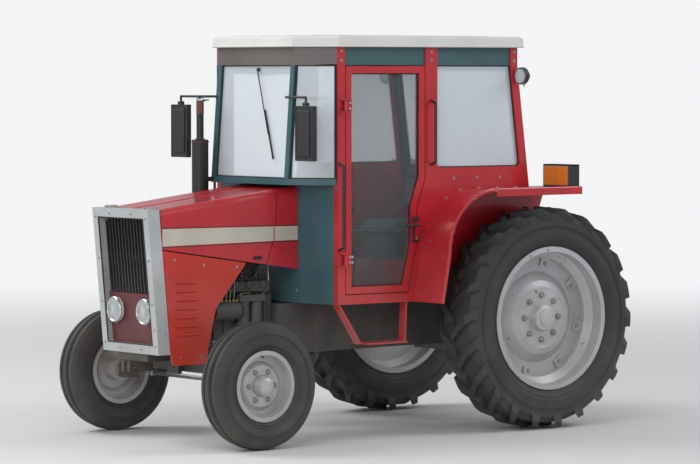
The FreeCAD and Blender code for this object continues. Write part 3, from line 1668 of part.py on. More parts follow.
def cab_top():
    """Header ring over the windows, let in behind the posts, and the roof cap on it."""
    ring = plate(
        "header_ring",
        "XY_Plane",
        roof_plan("0", "header_inset"),
        "windows_top",
        "header_top",
        [roof_plan("-50")],
    )
    node("cab_header", ring)
    roof = plate(
        "roof_cap",
        "XY_Plane",
        roof_plan("roof_overhang"),
        "header_top",
        "header_top + roof_height",
    )
    doc.recompute()
    crown = num("header_top + roof_height")
    edges = [f"Edge{i}" for i, e in enumerate(roof.Shape.Edges, start=1) if e.BoundBox.ZMin > crown - 1]
    cap = roof.Tip
    soften = roof.newObject("PartDesign::Chamfer", "roof_edge")
    soften.Base = (cap, edges)
    soften.Size = 18
    node("cab_roof", roof)


def cab_front():
    """Three-faced wall below the windscreen, the sill on it, and the windscreen's two posts."""
    end = "(cab_inside - fit)"
    right_side = [
        ("wall_corner_x", f"-{end}"),
        ("front_post_x - 2", f"-{end}"),
        ("bulkhead_x", "-bulkhead_half"),
    ]
    left_side = [
        ("bulkhead_x", "bulkhead_half"),
        ("front_post_x - 2", end),
        ("wall_corner_x", end),
    ]
    back = [
        ("bulkhead_x - bulkhead_wall", "bulkhead_half - 2"),
        ("bulkhead_x - bulkhead_wall", "-(bulkhead_half - 2)"),
    ]
    wall = plate(
        "bulkhead_sheet",
        "XY_Plane",
        right_side + left_side + back,
        "floor_top - floor_thick",
        "shelf_z",
    )
    tip = "cab_half_width - 8"
    sill = plate(
        "screen_sill",
        "XY_Plane",
        [
            ("screen_foot_x + pillar / 2", "-screen_half_width"),
            ("screen_foot_x + pillar / 2", "screen_half_width"),
            ("front_post_x + 8", tip),
            ("front_post_x + fit", tip),
            ("front_post_x + fit", end),
            ("front_post_x - 20", end),
            ("front_post_x - 20", f"-{end}"),
            ("front_post_x + fit", f"-{end}"),
            ("front_post_x + fit", f"-({tip})"),
            ("front_post_x + 8", f"-({tip})"),
        ],
        "shelf_z",
        "screen_foot_z",
    )
    reach = num("pillar / 2")
    posts = []
    for i, side in enumerate((1, -1)):
        y = f"{side} * (screen_half_width - pillar / 2)"
        ends = [
            point("screen_foot_x", y, "screen_foot_z - 20"),
            point("screen_top_x", y, "windows_top"),
        ]
        corners = ((reach, reach), (-reach, reach), (-reach, -reach), (reach, -reach))
        posts.append(
            solid(
                f"screen_post{i}",
                quad_loft(*[[c + V(dx, dy, 0) for dx, dy in corners] for c in ends]),
            ),
        )
    node("cab_front", fuse("cab_front_all", wall, sill, *posts))


def cab_rear():
    """Lower panel with the top link's clip, and a leaning frame round the rear window."""
    inside, rim = "cab_inside", "rear_window_half"
    slope = [
        ("cab_rear_foot", "fender_top - 40"),
        ("cab_rear_foot + rear_frame", "fender_top - 40"),
        ("cab_rear_foot + rear_frame", "fender_top"),
        ("cab_rear_top + rear_frame", "windows_top"),
        ("cab_rear_top", "windows_top"),
        ("cab_rear_foot", "fender_top"),
    ]
    upper = plate("rear_frame", "XZ_Plane", slope, f"-({inside})", inside)
    low, high, turn = "rear_window_low", "rear_window_high", "window_corner"
    hole = plate(
        "rear_window_hole",
        "YZ_Plane",
        [(f"-{rim}", low, turn), (rim, low, turn), (rim, high, turn), (f"-{rim}", high, turn)],
        "cab_rear_foot - 100",
        "cab_rear_top + 100",
    )
    panel_x = ("cab_rear_foot", "cab_rear_foot + rear_frame")
    lower_panel = box(
        "rear_lower",
        panel_x,
        ("-fender_inner", "fender_inner"),
        ("platform_top - floor_thick", "fender_top - 14"),
    )
    ears = box(
        "rear_ears",
        ("cab_rear_foot - 10", "cab_rear_foot + 40"),
        (f"-({inside})", inside),
        ("fender_top - 60", "fender_top"),
    )
    core = box(
        "rear_ear_core",
        ("cab_rear_foot - 20", "cab_rear_foot + 50"),
        ("-fender_inner", "fender_inner"),
        ("fender_top - 80", "fender_top + 20"),
    )
    trimmed = cut("rear_frame_open", upper, hole, cut("ear_cut", ears, core))
    clip_z = ("top_link_z - 110", "top_link_z - 98")
    clip = [box("clip_arm", ("top_link_x + 30", "cab_rear_foot"), ("-12", "12"), clip_z)]
    for i, y in enumerate((("17", "25"), ("-25", "-17"))):
        clip.append(box(f"clip_prong{i}", ("top_link_x - 30", "top_link_x + 42"), y, clip_z))
    clip.append(box("clip_yoke", ("top_link_x + 30", "top_link_x + 42"), ("-25", "25"), clip_z))
    node("cab_rear", fuse("cab_rear_all", trimmed, lower_panel, *clip))


def corner_pane(side):
    """The slanted pane between a windscreen post and the door's front post."""
    clear, lean = num("fit"), num("screen_foot_x - screen_top_x")
    heights = [num("screen_foot_z") + clear, num("windows_top") - clear]
    outer = V(num("front_post_x + 3"), side * num("cab_half_width - cab_wall / 2"), 0)
    rise = num("windows_top - screen_foot_z")
    near = [
        V(num("screen_foot_x") - lean * (z - heights[0]) / rise, side * num("screen_half_width + 3"), z)
        for z in heights
    ]
    far = [outer + V(0, 0, z) for z in heights]
    flat = (far[0] - near[0] + far[1] - near[1]).normalize()
    across = V(-flat.y, flat.x, 0) * (num("glass") / 2)
    loops = [[low + across, low - across, high - across, high + across] for low, high in (near, far)]
    return quad_loft(*loops)


# Window glass, fixed
def glass():
    clear = num("fit")
    slope = point("screen_foot_x - screen_top_x", "0", "screen_foot_z - windows_top")
    top = point("screen_top_x", "0", "windows_top - fit")
    foot = top + slope * (1 - 2 * clear / slope.Length)
    wide = V(0, num("screen_half_width - pillar - fit"), 0)
    thick = V(num("glass / 2"), 0, 0)
    screen = quad_loft(
        *[
            [c + wide + thick, c - wide + thick, c - wide - thick, c + wide - thick]
            for c in (top, foot)
        ],
    )
    fixed = [solid(f"pane{i}", p) for i, p in enumerate((screen, corner_pane(1), corner_pane(-1)))]
    back = "rear_post_x - rear_post - fit"
    quarter = plate(
        "quarter_glass",
        "XZ_Plane",
        [
            (back, "windows_top - fit"),
            (back, "sill_z + fit", "30"),
            (f"cab_rear_foot + corner_post + {rear_lean('sill_z')} + fit", "sill_z + fit", "30"),
            ("cab_rear_top + corner_post + fit", "windows_top - fit"),
        ],
        "cab_half_width - glass_inset",
        "cab_half_width - glass_inset + glass",
    )
    low, high, rim = "rear_window_low", "rear_window_high", "rear_window_half"
    sheet_ = plate(
        "rear_glass_sheet",
        "XZ_Plane",
        [
            (f"cab_rear_foot + 12 + {rear_lean(low)}", low),
            (f"cab_rear_foot + 12 + glass + {rear_lean(low)}", low),
            (f"cab_rear_foot + 12 + glass + {rear_lean(high)}", high),
            (f"cab_rear_foot + 12 + {rear_lean(high)}", high),
        ],
        f"-({rim})",
        rim,
    )
    inner = f"({rim} - fit)"
    mask = plate(
        "rear_glass_mask",
        "YZ_Plane",
        [
            (f"-{inner}", f"{low} + fit", "window_corner"),
            (inner, f"{low} + fit", "window_corner"),
            (inner, f"{high} - fit", "window_corner"),
            (f"-{inner}", f"{high} - fit", "window_corner"),
        ],
        "cab_rear_foot - 100",
        "cab_rear_top + 100",
    )
    node(
        "cab_glass",
        group(
            "cab_glass_all",
            *fixed,
            quarter,
            mirror("quarter_other", quarter),
            common("rear_glass", sheet_, mask),
        ),
    )


# Doors: a framed full-height window, hinged on the front post
def doors():
    post_in = "front_post_x - front_post"

    def leaf(inset):
        d = f"(gap + {inset})"
        return [
            (f"{post_in} - {d}", f"windows_top - {d}"),
            (f"{post_in} - {d}", f"door_sill_z + {d}"),
            (f"door_foot_x + {d} * 0.9", f"door_sill_z + {d}"),
            (
                f"door_bend_x + {d}",
                f"fender_top - fender_bend + 40 + {d} * 0.2",
                f"200 - {d} * 0.5",
            ),
            (f"door_bend_x + {d}", f"fender_top - 130 + {d} * 0.4", f"60 + {d} * 0.5"),
            (f"rear_post_x + {d}", f"fender_top + 70 + {d} * 0.4", "60"),
            (f"rear_post_x + {d}", f"windows_top - {d}"),
        ]

    leaf_body = plate(
        "door_sheet",
        "XZ_Plane",
        leaf("0"),
        "cab_inside",
        "cab_half_width",
        [leaf("door_rail")],
    )
    barrels, bores = [], []
    for i, z in enumerate(("floor_top + hinge_inset", "windows_top - hinge_inset")):
        barrels.append(
            cylinder(
                f"hinge_barrel{i}",
                "Z",
                ("hinge_x", "hinge_y", f"{z} - 30"),
                "60",
                "door_hinge_radius",
            ),
        )
        barrels.append(
            box(
                f"hinge_strap{i}",
                (f"{post_in} - gap - 40", "hinge_x"),
                ("cab_half_width", "cab_half_width + 12"),
                (f"{z} - 30", f"{z} + 30"),
            ),
        )
        bores.append(
            cylinder(
                f"hinge_bore{i}",
                "Z",
                ("hinge_x", "hinge_y", f"{z} - 60"),
                "120",
                "door_pin_radius + running",
            ),
        )
    handle = box(
        "door_handle",
        ("rear_x + fender_foot - 24", "rear_x + fender_foot - 4"),
        ("cab_half_width", "cab_half_width + 22"),
        ("1290", "1390"),
    )
    door = fuse(
        "door_leaf",
        leaf_body,
        cut("door_hinges", fuse("door_hinge_blank", *barrels), *bores),
        handle,
    )
    node("door_left", door)
    node("door_right", mirror("door_other", door))
    pane = plate(
        "door_pane",
        "XZ_Plane",
        leaf("door_rail + fit"),
        "cab_half_width - glass_inset",
        "cab_half_width - glass_inset + glass",
    )
    node("door_glass_left", pane)
    node("door_glass_right", mirror("door_glass_other", pane))


# Inside the cab: dash with steering column, steering wheel, seat
def interior():
    lean = math.radians(num("steering_angle"))
    up = V(-math.sin(lean), 0, math.cos(lean))
    middle = point("steering_x", "0", "steering_z")
    pedestal = plate(
        "dash_block",
        "XZ_Plane",
        [
            ("bulkhead_x - bulkhead_wall - fit", "floor_top"),
            ("bulkhead_x - bulkhead_wall - fit", "dash_top"),
            ("bulkhead_x - 110", "dash_top", "30"),
            ("steering_x + 70", "dash_low", "40"),
            ("steering_x + 140", "floor_top"),
        ],
        "-dash_half_width",
        "dash_half_width",
    )
    spindle_radius = num("spindle_radius")
    column = solid("column", Part.makeCylinder(num("column_radius"), 260, middle - up * 300, up))
    spindle = solid("spindle", Part.makeCylinder(spindle_radius, 60, middle - up * 60, up))
    node("dash", fuse("dash_all", pedestal, column, spindle))

    rim = Part.makeTorus(num("steering_radius"), num("steering_rim"), middle + up * 40, up)
    hub = Part.makeCylinder(spindle_radius + 28, 46, middle - up * 30, up)
    bore = Part.makeCylinder(spindle_radius + num("running"), 36, middle - up * 36, up)
    across = V(0, 1, 0)
    spokes = []
    for i in range(3):
        angle = math.radians(90 + 120 * i)
        out = across * math.sin(angle) + across.cross(up) * math.cos(angle)
        spokes.append(
            bar(middle + out * 30 + up * 6, middle + out * num("steering_radius - 4") + up * 38, 22, 8),
        )
    wheel = rim.multiFuse([hub, *spokes]).cut(bore)
    node("steering_wheel", solid("steering_wheel_all", wheel))

    base = box(
        "seat_slide",
        ("seat_front - seat_length + 60", "seat_front - 60"),
        ("-170", "170"),
        ("platform_top", "seat_top - 120"),
    )
    node("seat_base", base)
    cushion = plate(
        "seat_cushion",
        "XZ_Plane",
        [
            ("seat_front", "seat_top - 119.7", "30"),
            ("seat_front", "seat_top", "40"),
            ("seat_front - seat_length + 80", "seat_top", "30"),
            ("seat_front - seat_length - 10", "seat_back_top", "30"),
            ("seat_front - seat_length - 80", "seat_back_top", "30"),
            ("seat_front - seat_length", "seat_top - 119.7", "30"),
        ],
        "-seat_half_width",
        "seat_half_width",
    )
    node("seat", cushion)


# Exhaust stack beside the cab's right front corner, mirrors, headlamps, rear lamps and work lamps
def outside_fittings(headlamps):
    x, y = "exhaust_x", "-exhaust_y"
    pipe_z = "block_top + 52"
    silencer = cylinder("silencer", "Z", (x, y, "silencer_z"), "silencer_length", "silencer_radius")
    tail = cylinder(
        "tail_pipe",
        "Z",
        (x, y, "silencer_z + silencer_length"),
        "exhaust_top - silencer_z - silencer_length",
        "tail_radius",
    )
    down = solid(
        "down_pipe",
        tube(
            [
                point(x, "-engine_half_width - manifold_out", pipe_z),
                point(x, y, pipe_z),
                point(x, y, "silencer_z + 2"),
            ],
            num("down_pipe_radius"),
        ),
    )
    stay = box(
        "silencer_stay",
        ("screen_foot_x + pillar / 2 + fit", x),
        (f"{y} + 32", f"{y} + 52"),
        ("shelf_z + 5", "screen_foot_z - 5"),
    )
    node("exhaust", fuse("exhaust_all", silencer, tail, down, stay))

    share = "(mirror_z - screen_foot_z) / (windows_top - screen_foot_z)"
    post_x = f"screen_foot_x - (screen_foot_x - screen_top_x) * {share}"
    start = point(f"{post_x} + pillar / 2 + 5.3", "screen_half_width - 14", "mirror_z")
    elbow = start + V(90, 70, 0)
    end = elbow + V(0, 210, 0)
    tip = end - V(0, 0, num("mirror_drop * 2"))
    arm = solid("mirror_arm", tube([start, elbow, end, tip], num("mirror_arm_radius")))
    head = box(
        "mirror_head",
        (f"{end.x} - mirror_depth / 2", f"{end.x} + mirror_depth / 2"),
        (f"{end.y} - mirror_width / 2", f"{end.y} + mirror_width / 2"),
        ("mirror_z - mirror_drop - mirror_height", "mirror_z - mirror_drop"),
    )
    node("mirrors", both_sides("mirror_pair", fuse("mirror_left", arm, head)))

    rear = box(
        "rear_lamp",
        ("cab_rear_foot - 190", "cab_rear_foot - 110"),
        ("cab_half_width + 30", "fender_outer - 20"),
        ("fender_top", "fender_top + 150"),
    )
    work_y, work_z = "cab_half_width + 62", "windows_top - 70"
    work = turned(
        "work_lamp_shell",
        [("0", "0"), ("30", "0"), ("56", "30"), ("56", "60"), ("0", "66")],
        ("cab_rear_top - 30", work_y, work_z),
        axis="X",
    )
    foot = box(
        "work_lamp_foot",
        ("cab_rear_top - 10", "cab_rear_top + 20"),
        ("cab_half_width + fit", work_y),
        (f"{work_z} - 12", f"{work_z} + 12"),
    )
    lamp_pairs = [
        both_sides("rear_lamp_pair", rear),
        both_sides("work_lamp_pair", fuse("work_lamp", work, foot)),
    ]
    node("lamps", group("lamps_all", headlamps, *lamp_pairs))


# Three-point linkage, drawbar
def linkage():
    arms, rods, links = [], [], []
    thick, pin_radius = num("lift_arm_thick"), num("lift_pin_radius")
    shaft = cylinder(
        "rock_shaft",
        "Y",
        ("rock_shaft_x", "-lift_arm_y - 25", "rock_shaft_z"),
        "(lift_arm_y + 25) * 2",
        "rock_shaft_radius",
    )
    for i, side in enumerate((1, -1)):
        y = f"{side} * lift_arm_y"
        root = point("rock_shaft_x", y, "rock_shaft_z")
        tip = point("rock_shaft_x - lift_arm_length", y, "rock_shaft_z - lift_arm_drop")
        arm = bar(root, tip, thick, 60)
        arm = arm.fuse(
            [
                Part.makeCylinder(44, thick, root - V(0, thick / 2, 0), V(0, 1, 0)),
                Part.makeCylinder(30, thick, tip - V(0, thick / 2, 0), V(0, 1, 0)),
            ],
        )
        pin = Part.makeCylinder(pin_radius, 64, tip - V(0, 32, 0), V(0, 1, 0))
        arms.append(solid(f"lift_arm{i}", arm.fuse(pin)))
    node("lift_arms", fuse("lift_arms_all", shaft, *arms))
    pivot_share = 0.5
    for i, side in enumerate((1, -1)):
        a = point("link_pivot_x", f"{side} * link_pivot_y", "link_pivot_z")
        b = point("link_end_x", f"{side} * link_end_y", "link_end_z")
        k = a + (b - a) * pivot_share
        link = bar(a, b, num("link_thick"), num("link_tall"))
        eye = Part.makeCylinder(36, 40, a - V(0, 20, 0), V(0, 1, 0))
        ball = Part.makeCylinder(38, num("link_ball"), b - V(0, num("link_ball / 2"), 0), V(0, 1, 0))
        lug = Part.makeCylinder(pin_radius, 90, k - V(0, 30 if side > 0 else 60, 0), V(0, 1, 0))
        link = link.fuse([eye, ball, lug])
        link = link.cut(Part.makeCylinder(num("ball_bore_radius"), 80, b - V(0, 40, 0), V(0, 1, 0)))
        pivot_bore = num("link_pin_radius + running")
        link = link.cut(Part.makeCylinder(pivot_bore, 80, a - V(0, 40, 0), V(0, 1, 0)))
        links.append(solid(f"lower_link{i}", link))
    node("lower_links", group("lower_links_all", *links))
    for i, side in enumerate((1, -1)):
        a = point("link_pivot_x", f"{side} * link_pivot_y", "link_pivot_z")
        b = point("link_end_x", f"{side} * link_end_y", "link_end_z")
        k = a + (b - a) * pivot_share
        y = f"{side} * lift_arm_y"
        tip = point("rock_shaft_x - lift_arm_length", y, "rock_shaft_z - lift_arm_drop")
        high = tip + V(0, side * 26, 0)
        low = k + V(0, side * 42, 0)
        rod = Part.makeCylinder(num("lift_rod_radius"), (high - low).Length, low, high - low)
        rod = rod.fuse(
            [
                Part.makeCylinder(22, 20, high - V(0, 10, 0), V(0, 1, 0)),
                Part.makeCylinder(30, 20, low - V(0, 10, 0), V(0, 1, 0)),
            ],
        )
        for c, bore in ((high, pin_radius + num("running")), (low, pin_radius + 8)):
            rod = rod.cut(Part.makeCylinder(bore, 60, c - V(0, 30, 0), V(0, 1, 0)))
        rods.append(solid(f"lift_rod{i}", rod))
    node("lift_rods", group("lift_rods_all", *rods))

    pins = [
        cylinder(
            f"link_pin{i}",
            "Y",
            ("link_pivot_x", s, "link_pivot_z"),
            "link_pivot_y - case_half_width + 45",
            "link_pin_radius",
        )
        for i, s in enumerate(("case_half_width - 5", "-link_pivot_y - 40"))
    ]
    bar_ = box(
        "drawbar_bar",
        ("rear_x - drawbar_reach", "rear_x - case_back + 100"),
        ("-drawbar_half_width", "drawbar_half_width"),
        ("rear_z - drawbar_drop", "rear_z - drawbar_drop + drawbar_thick"),
    )
    hole = cylinder(
        "drawbar_hole",
        "Z",
        ("rear_x - drawbar_reach + 40", "0", "rear_z - drawbar_drop - 20"),
        "drawbar_thick + 50",
        "drawbar_bore_radius",
    )
    bracket_y = (
        ("case_half_width", "case_half_width + link_bracket"),
        ("-case_half_width - link_bracket", "-case_half_width"),
    )
    brackets = [
        box(
            f"link_bracket{i}",
            ("link_pivot_x - 40", "link_pivot_x + 40"),
            y,
            ("link_pivot_z - 40", "rear_z - brake_radius - 7"),
        )
        for i, y in enumerate(bracket_y)
    ]
    top_bracket = [
        box(
            "top_link_bracket",
            ("rear_x - case_back - 25", "rear_x - case_back"),
            ("-50", "50"),
            ("top_pin_z - 50", "top_pin_z + 50"),
        ),
    ]
    ear = ("top_link_width / 2 + fit", "top_link_width / 2 + fit + 12.2")
    for i, y in enumerate((ear, tuple(f"-({v})" for v in reversed(ear)))):
        top_bracket.append(
            box(
                f"top_link_ear{i}",
                ("top_pin_x - top_eye_radius", "rear_x - case_back - 20"),
                y,
                ("top_pin_z - 26", "top_pin_z + 26"),
            ),
        )
    top_bracket.append(
        cylinder(
            "top_link_pin",
            "Y",
            ("top_pin_x", "-44", "top_pin_z"),
            "88",
            "top_pin_radius",
        ),
    )
    node(
        "hitch_frame",
        group(
            "hitch_frame_all",
            cut("drawbar", bar_, hole),
            *[fuse(f"link_bracket_side{i}", b, p) for i, (b, p) in enumerate(zip(brackets, pins))],
            fuse("top_link_clevis", *top_bracket),
        ),
    )
    low = point("top_pin_x", "0", "top_pin_z")
    high = point("top_link_x", "0", "top_link_z")
    wide, eye_radius = num("top_link_width"), num("top_eye_radius")
    top = Part.makeCylinder(num("top_link_radius"), (high - low).Length, low, high - low)
    top = top.fuse(
        [Part.makeCylinder(eye_radius, wide, c - V(0, wide / 2, 0), V(0, 1, 0)) for c in (low, high)],
    )
    for eye, bore in ((high, num("top_bore_radius")), (low, num("top_pin_radius + running"))):
        top = top.cut(Part.makeCylinder(bore, 80, eye - V(0, 40, 0), V(0, 1, 0)))
    node("top_link", solid("top_link_all", top))


def check():
    """Stops on any failed object, and on any sub-part with no valid closed solid."""
    doc.recompute()
    failed = [(o.Name, o.getStatusString()) for o in doc.Objects if {"Invalid", "Error"} & set(o.State)]
    if failed:
        raise SystemExit(f"failed objects: {failed}")
    for name, thing in nodes.items():
        shape = thing.Shape
        if shape.isNull() or not shape.isValid() or not shape.Solids:
            raise SystemExit(f"{name} has no valid solid")


def write():
    os.makedirs("parts", exist_ok=True)
    for name, thing in nodes.items():
        shape = thing.Shape
        solids = shape.Solids
        out = solids[0] if len(solids) == 1 else Part.makeCompound(solids)
        out.exportStep(f"parts/{name}.step")


rear_wheel()
front_wheel()
engine()
transmission()
axle_housings()
front_axle()
radiator()
bonnet()
headlamp_pair = nose()
side_panels()
fenders()
cab_sides()
cab_floor()
cab_top()
cab_front()
cab_rear()
glass()
doors()
interior()
outside_fittings(headlamp_pair)
linkage()
check()
write()
print(len(nodes), "sub-parts")
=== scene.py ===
"""Farm tractor: materials, fastenings, seals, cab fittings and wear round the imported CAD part.

Metres. +X is forward, +Y is the tractor's left, +Z is up, and the ground is z = 0.
"""

import math

import bmesh
import bpy
from mathutils import Matrix, Vector


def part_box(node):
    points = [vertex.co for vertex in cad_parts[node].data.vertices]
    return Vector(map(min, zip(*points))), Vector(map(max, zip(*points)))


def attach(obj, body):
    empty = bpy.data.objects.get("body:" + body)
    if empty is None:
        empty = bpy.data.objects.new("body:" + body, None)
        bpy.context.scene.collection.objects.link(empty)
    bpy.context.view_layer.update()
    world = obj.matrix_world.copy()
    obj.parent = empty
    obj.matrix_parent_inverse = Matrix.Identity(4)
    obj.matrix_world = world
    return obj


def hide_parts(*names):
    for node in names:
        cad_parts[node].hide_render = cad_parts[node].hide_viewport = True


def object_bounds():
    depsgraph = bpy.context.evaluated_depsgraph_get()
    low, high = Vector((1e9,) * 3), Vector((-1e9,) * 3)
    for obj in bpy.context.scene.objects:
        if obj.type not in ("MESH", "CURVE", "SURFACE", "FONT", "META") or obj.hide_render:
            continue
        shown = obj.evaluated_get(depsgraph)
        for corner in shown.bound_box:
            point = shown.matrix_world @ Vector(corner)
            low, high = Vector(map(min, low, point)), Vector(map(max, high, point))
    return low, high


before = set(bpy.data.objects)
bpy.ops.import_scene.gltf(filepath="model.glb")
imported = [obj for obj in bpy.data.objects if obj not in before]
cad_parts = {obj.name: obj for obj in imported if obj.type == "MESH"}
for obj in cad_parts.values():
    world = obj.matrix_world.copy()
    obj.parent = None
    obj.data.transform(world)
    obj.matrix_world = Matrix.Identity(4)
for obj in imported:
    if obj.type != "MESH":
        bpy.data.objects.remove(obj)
cad_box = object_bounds()

# The photograph's viewing angle: bearing and height in degrees, distance in metres.
VIEW_BEARING = 142
VIEW_HEIGHT = 2.6
VIEW_DISTANCE = 23.4
VIEW_FILL = 0.84
FRAME_WIDTH, FRAME_HEIGHT = 700, 464
SENSOR = 36

# The studio: the surround's colour, the light it gives, the floor's size and where the floor
# starts and ends its fade into the surround, and each lamp's place, power and width.
SURROUND = (0.90, 0.91, 0.92, 1)
SKY, SKY_STRENGTH = (0.80, 0.83, 0.88, 1), 0.55
FLOOR_SIZE, FLOOR_FADE = 60, (4, 17)
LAMPS = (
    ("key", (6, -7, 9), 700, 6),
    ("fill", (9, 5, 5), 400, 7),
    ("back", (-8, 6, 8), 410, 6),
)

X, Y, Z = Vector((1, 0, 0)), Vector((0, 1, 0)), Vector((0, 0, 1))
SIDES = (("left", 1), ("right", -1))
BOTH = (1, -1)

# Places on the CAD part, in metres
LAMP_Y, LAMP_Z, LAMP_RADIUS = 0.165, 0.850, 0.080
NOSE_TOP_X, NOSE_LEAN, NOSE_HINGE, NOSE_RIM = 1.856, 0.085, 0.0155, 0.06
SKIRT_REAR, SKIRT_FRONT = 1.090, 1.255
COWL_EDGE = 0.859
SCREEN_HALF, SCREEN_FOOT_Z = 0.399, 1.68
FRONT_POST_X, REAR_POST_X = 0.615, -0.11
BULKHEAD_X, CAB_SIDE = 0.672, 0.66
MIRROR_HEIGHT = 0.34
ENGINE_REAR, CYLINDERS = 0.77, 4
HINGE_X, HANDLE_X = 0.563, -0.024
EXHAUST = (0.905, -0.45)
REAR_LAMP_X = (-1.195, -1.115)
WORK_LAMP, WORK_LAMP_X = (0.722, 2.34), -0.93
DASH_FACE = (0.44, 1.468)
TOP_LINK_ENDS = ((-1.31, 0, 0.8875), (-1.25, 0, 1.44))
LIFT_ROD_ENDS = ((-1.439, 0.367, 0.435), (-1.46, 0.261, 0.97))
LINK_END, LINK_BALL, LIFT_ARM_TIP = (-1.818, 0.415, 0.40), 0.0225, (-1.46, 0.235, 0.97)
PTO_Z = 0.6175
DRAWBAR_PIN = (-1.235, 0, 0.4295)

# Sizes of what is added, in metres
CLAMPS, CLAMP_START = 8, 0.2
MESH_BACK, MESH_UPRIGHTS, MESH_LEVELS, MESH_WIRE = 0.088, 46, 52, 0.0012
STRIPE_FOOT, STRIPE_TOP = 1.280, 1.370
STEP_TREAD, STEP_SIZE, TREAD_PITCH = (0.235, 0.605, 0.6185), (0.31, 0.15), 0.028
SEAT_MIDDLE, BACK_MIDDLE, SEAT_LEAN = (-0.405, 0, 1.318), (-0.651, 0, 1.580), -13
BOLSTER_START, BOLSTER_RISE = 0.62, 0.012
CHANNEL_WIDTH, CHANNEL_DEPTH = 0.007, 0.007
PAD_CORNER = 0.16
PAD_WAIST, PAD_VOXEL, PAD_PRESSURE, PAD_STEPS, PAD_CAP = 0.03, 0.009, 4, 16, 0.016
PEDALS_Y = (0.16, -0.10, -0.185)
# Rings on a tyre's sidewalls: radius, distance from the wheel's middle plane, thickness, steps round
REAR_RIBS = (
    (0.497, 0.155, 0.0035, 96),
    (0.523, 0.1685, 0.0035, 96),
    (0.6, 0.1685, 0.0035, 96),
    (0.612, 0.167, 0.0035, 96),
)
FRONT_RIBS = (
    (0.245, 0.091, 0.003, 80),
    (0.262, 0.0985, 0.003, 80),
    (0.318, 0.101, 0.003, 80),
    (0.33, 0.099, 0.003, 80),
    (0.394, 0.024, 0.0045, 90),
    (0.386, 0.062, 0.0045, 90),
)
# Radius and place along X
WORK_LAMP_SHELL = ((0.012, -0.004), (0.0315, -0.0015), (0.0575, 0.0285), (0.0575, 0.0585), (0.0535, 0.0609))
# x and z
PANEL_SCREWS = ((1.60, 0.56), (1.44, 0.56), (1.65, 1.18), (1.16, 1.12), (1.42, 1.14))
# y and z
COVER_BOLTS = ((0.12, 0.52), (0.12, 0.615), (0.12, 0.71), (0.12, 0.81), (0.045, 0.515))
# x, y, floor's height, tip's height, lean along X
LEVERS = (
    (0.02, -0.13, 0.90, 1.36, 0.05),
    (0.08, 0.13, 0.90, 1.30, -0.04),
    (-0.28, -0.34, 1.12, 1.42, 0.08),
    (-0.34, -0.40, 1.12, 1.40, 0.06),
)
# Rear end, front end, half width, floor's height
FLOOR_MAT = (-0.10, 0.35, 0.56, 0.90)
# Height of the axis, radius, and the side of the loop, -1 below and 1 above
BELT_PULLEYS = ((0.69, 0.083, -1), (0.905, 0.061, 1))
FUEL_PIPES = (
    ((0.985, 0.202, 0.885), (0.985, 0.21, 0.94), (1.06, 0.222, 0.94), (1.10, 0.215, 0.89)),
    ((0.935, 0.202, 0.90), (0.88, 0.20, 0.93), (0.80, 0.17, 0.96), (0.79, 0.14, 1.15), (0.83, 0.10, 1.215)),
)
# Radius, sides, points
HOSES = (
    (0.024, 14, (
        (1.25, 0.05, 1.06), (1.31, 0.05, 1.10), (1.37, 0.09, 1.16), (1.42, 0.12, 1.19), (1.455, 0.12, 1.195),
    )),
    (0.024, 14, ((1.30, -0.12, 0.73), (1.36, -0.16, 0.70), (1.41, -0.19, 0.66), (1.455, -0.19, 0.65))),
    (0.009, 8, (
        (0.86, -0.21, 0.72), (0.8, -0.21, 0.76), (0.76, -0.2, 0.86), (0.7, -0.2, 0.93), (0.672, -0.2, 0.96),
    )),
    (0.007, 8, (
        (1.12, 0.285, 1.03), (1.05, 0.26, 1.05), (0.92, 0.22, 1.13), (0.76, 0.2, 1.13), (0.672, 0.2, 1.12),
    )),
)
# Middle and axis
HOSE_CLIPS = (
    ((1.43, 0.12, 1.192), X),
    ((1.29, 0.05, 1.09), Vector((1, 0, 0.6))),
    ((1.435, -0.19, 0.655), X),
    ((1.33, -0.14, 0.715), Vector((1, -0.7, -0.5))),
)


def box_of(node):
    """The lowest corner, the highest corner and the middle of a CAD node."""
    low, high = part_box(node)
    return low, high, (low + high) / 2


# Materials
DUST = (0.33, 0.29, 0.23)


def link(m, a, b):
    m.node_tree.links.new(a, b)


def add(m, kind, **settings):
    n = m.node_tree.nodes.new(kind)
    for name, value in settings.items():
        setattr(n, name, value)
    return n


def place(m):
    """Coordinates of the row frame, since every CAD node sits at the origin."""
    return add(m, "ShaderNodeTexCoord").outputs["Object"]


def noise(m, scale, detail=4):
    n = add(m, "ShaderNodeTexNoise")
    n.inputs["Scale"].default_value = scale
    n.inputs["Detail"].default_value = detail
    link(m, place(m), n.inputs["Vector"])
    return n.outputs["Fac"]


def ramp(m, source, stops):
    """A colour ramp on a value; stops are (place, colour)."""
    r = add(m, "ShaderNodeValToRGB")
    link(m, source, r.inputs["Fac"])
    while len(r.color_ramp.elements) < len(stops):
        r.color_ramp.elements.new(0.5)
    for element, (at, colour) in zip(r.color_ramp.elements, stops):
        element.position = at
        element.color = (*colour, 1)
    return r.outputs["Color"]


def grey(value):
    return (value, value, value)


def times(m, a, b):
    n = add(m, "ShaderNodeMath", operation="MULTIPLY")
    link(m, a, n.inputs[0])
    link(m, b, n.inputs[1])
    return n.outputs[0]


def mix(m, share, a, b):
    """Colour a, and b where the share is 1; b is a socket or a colour."""
    n = add(m, "ShaderNodeMix", data_type="RGBA")
    link(m, share, n.inputs["Factor"])
    link(m, a, n.inputs[6])
    if isinstance(b, tuple):
        n.inputs[7].default_value = (*b, 1)
    else:
        link(m, b, n.inputs[7])
    return n.outputs[2]


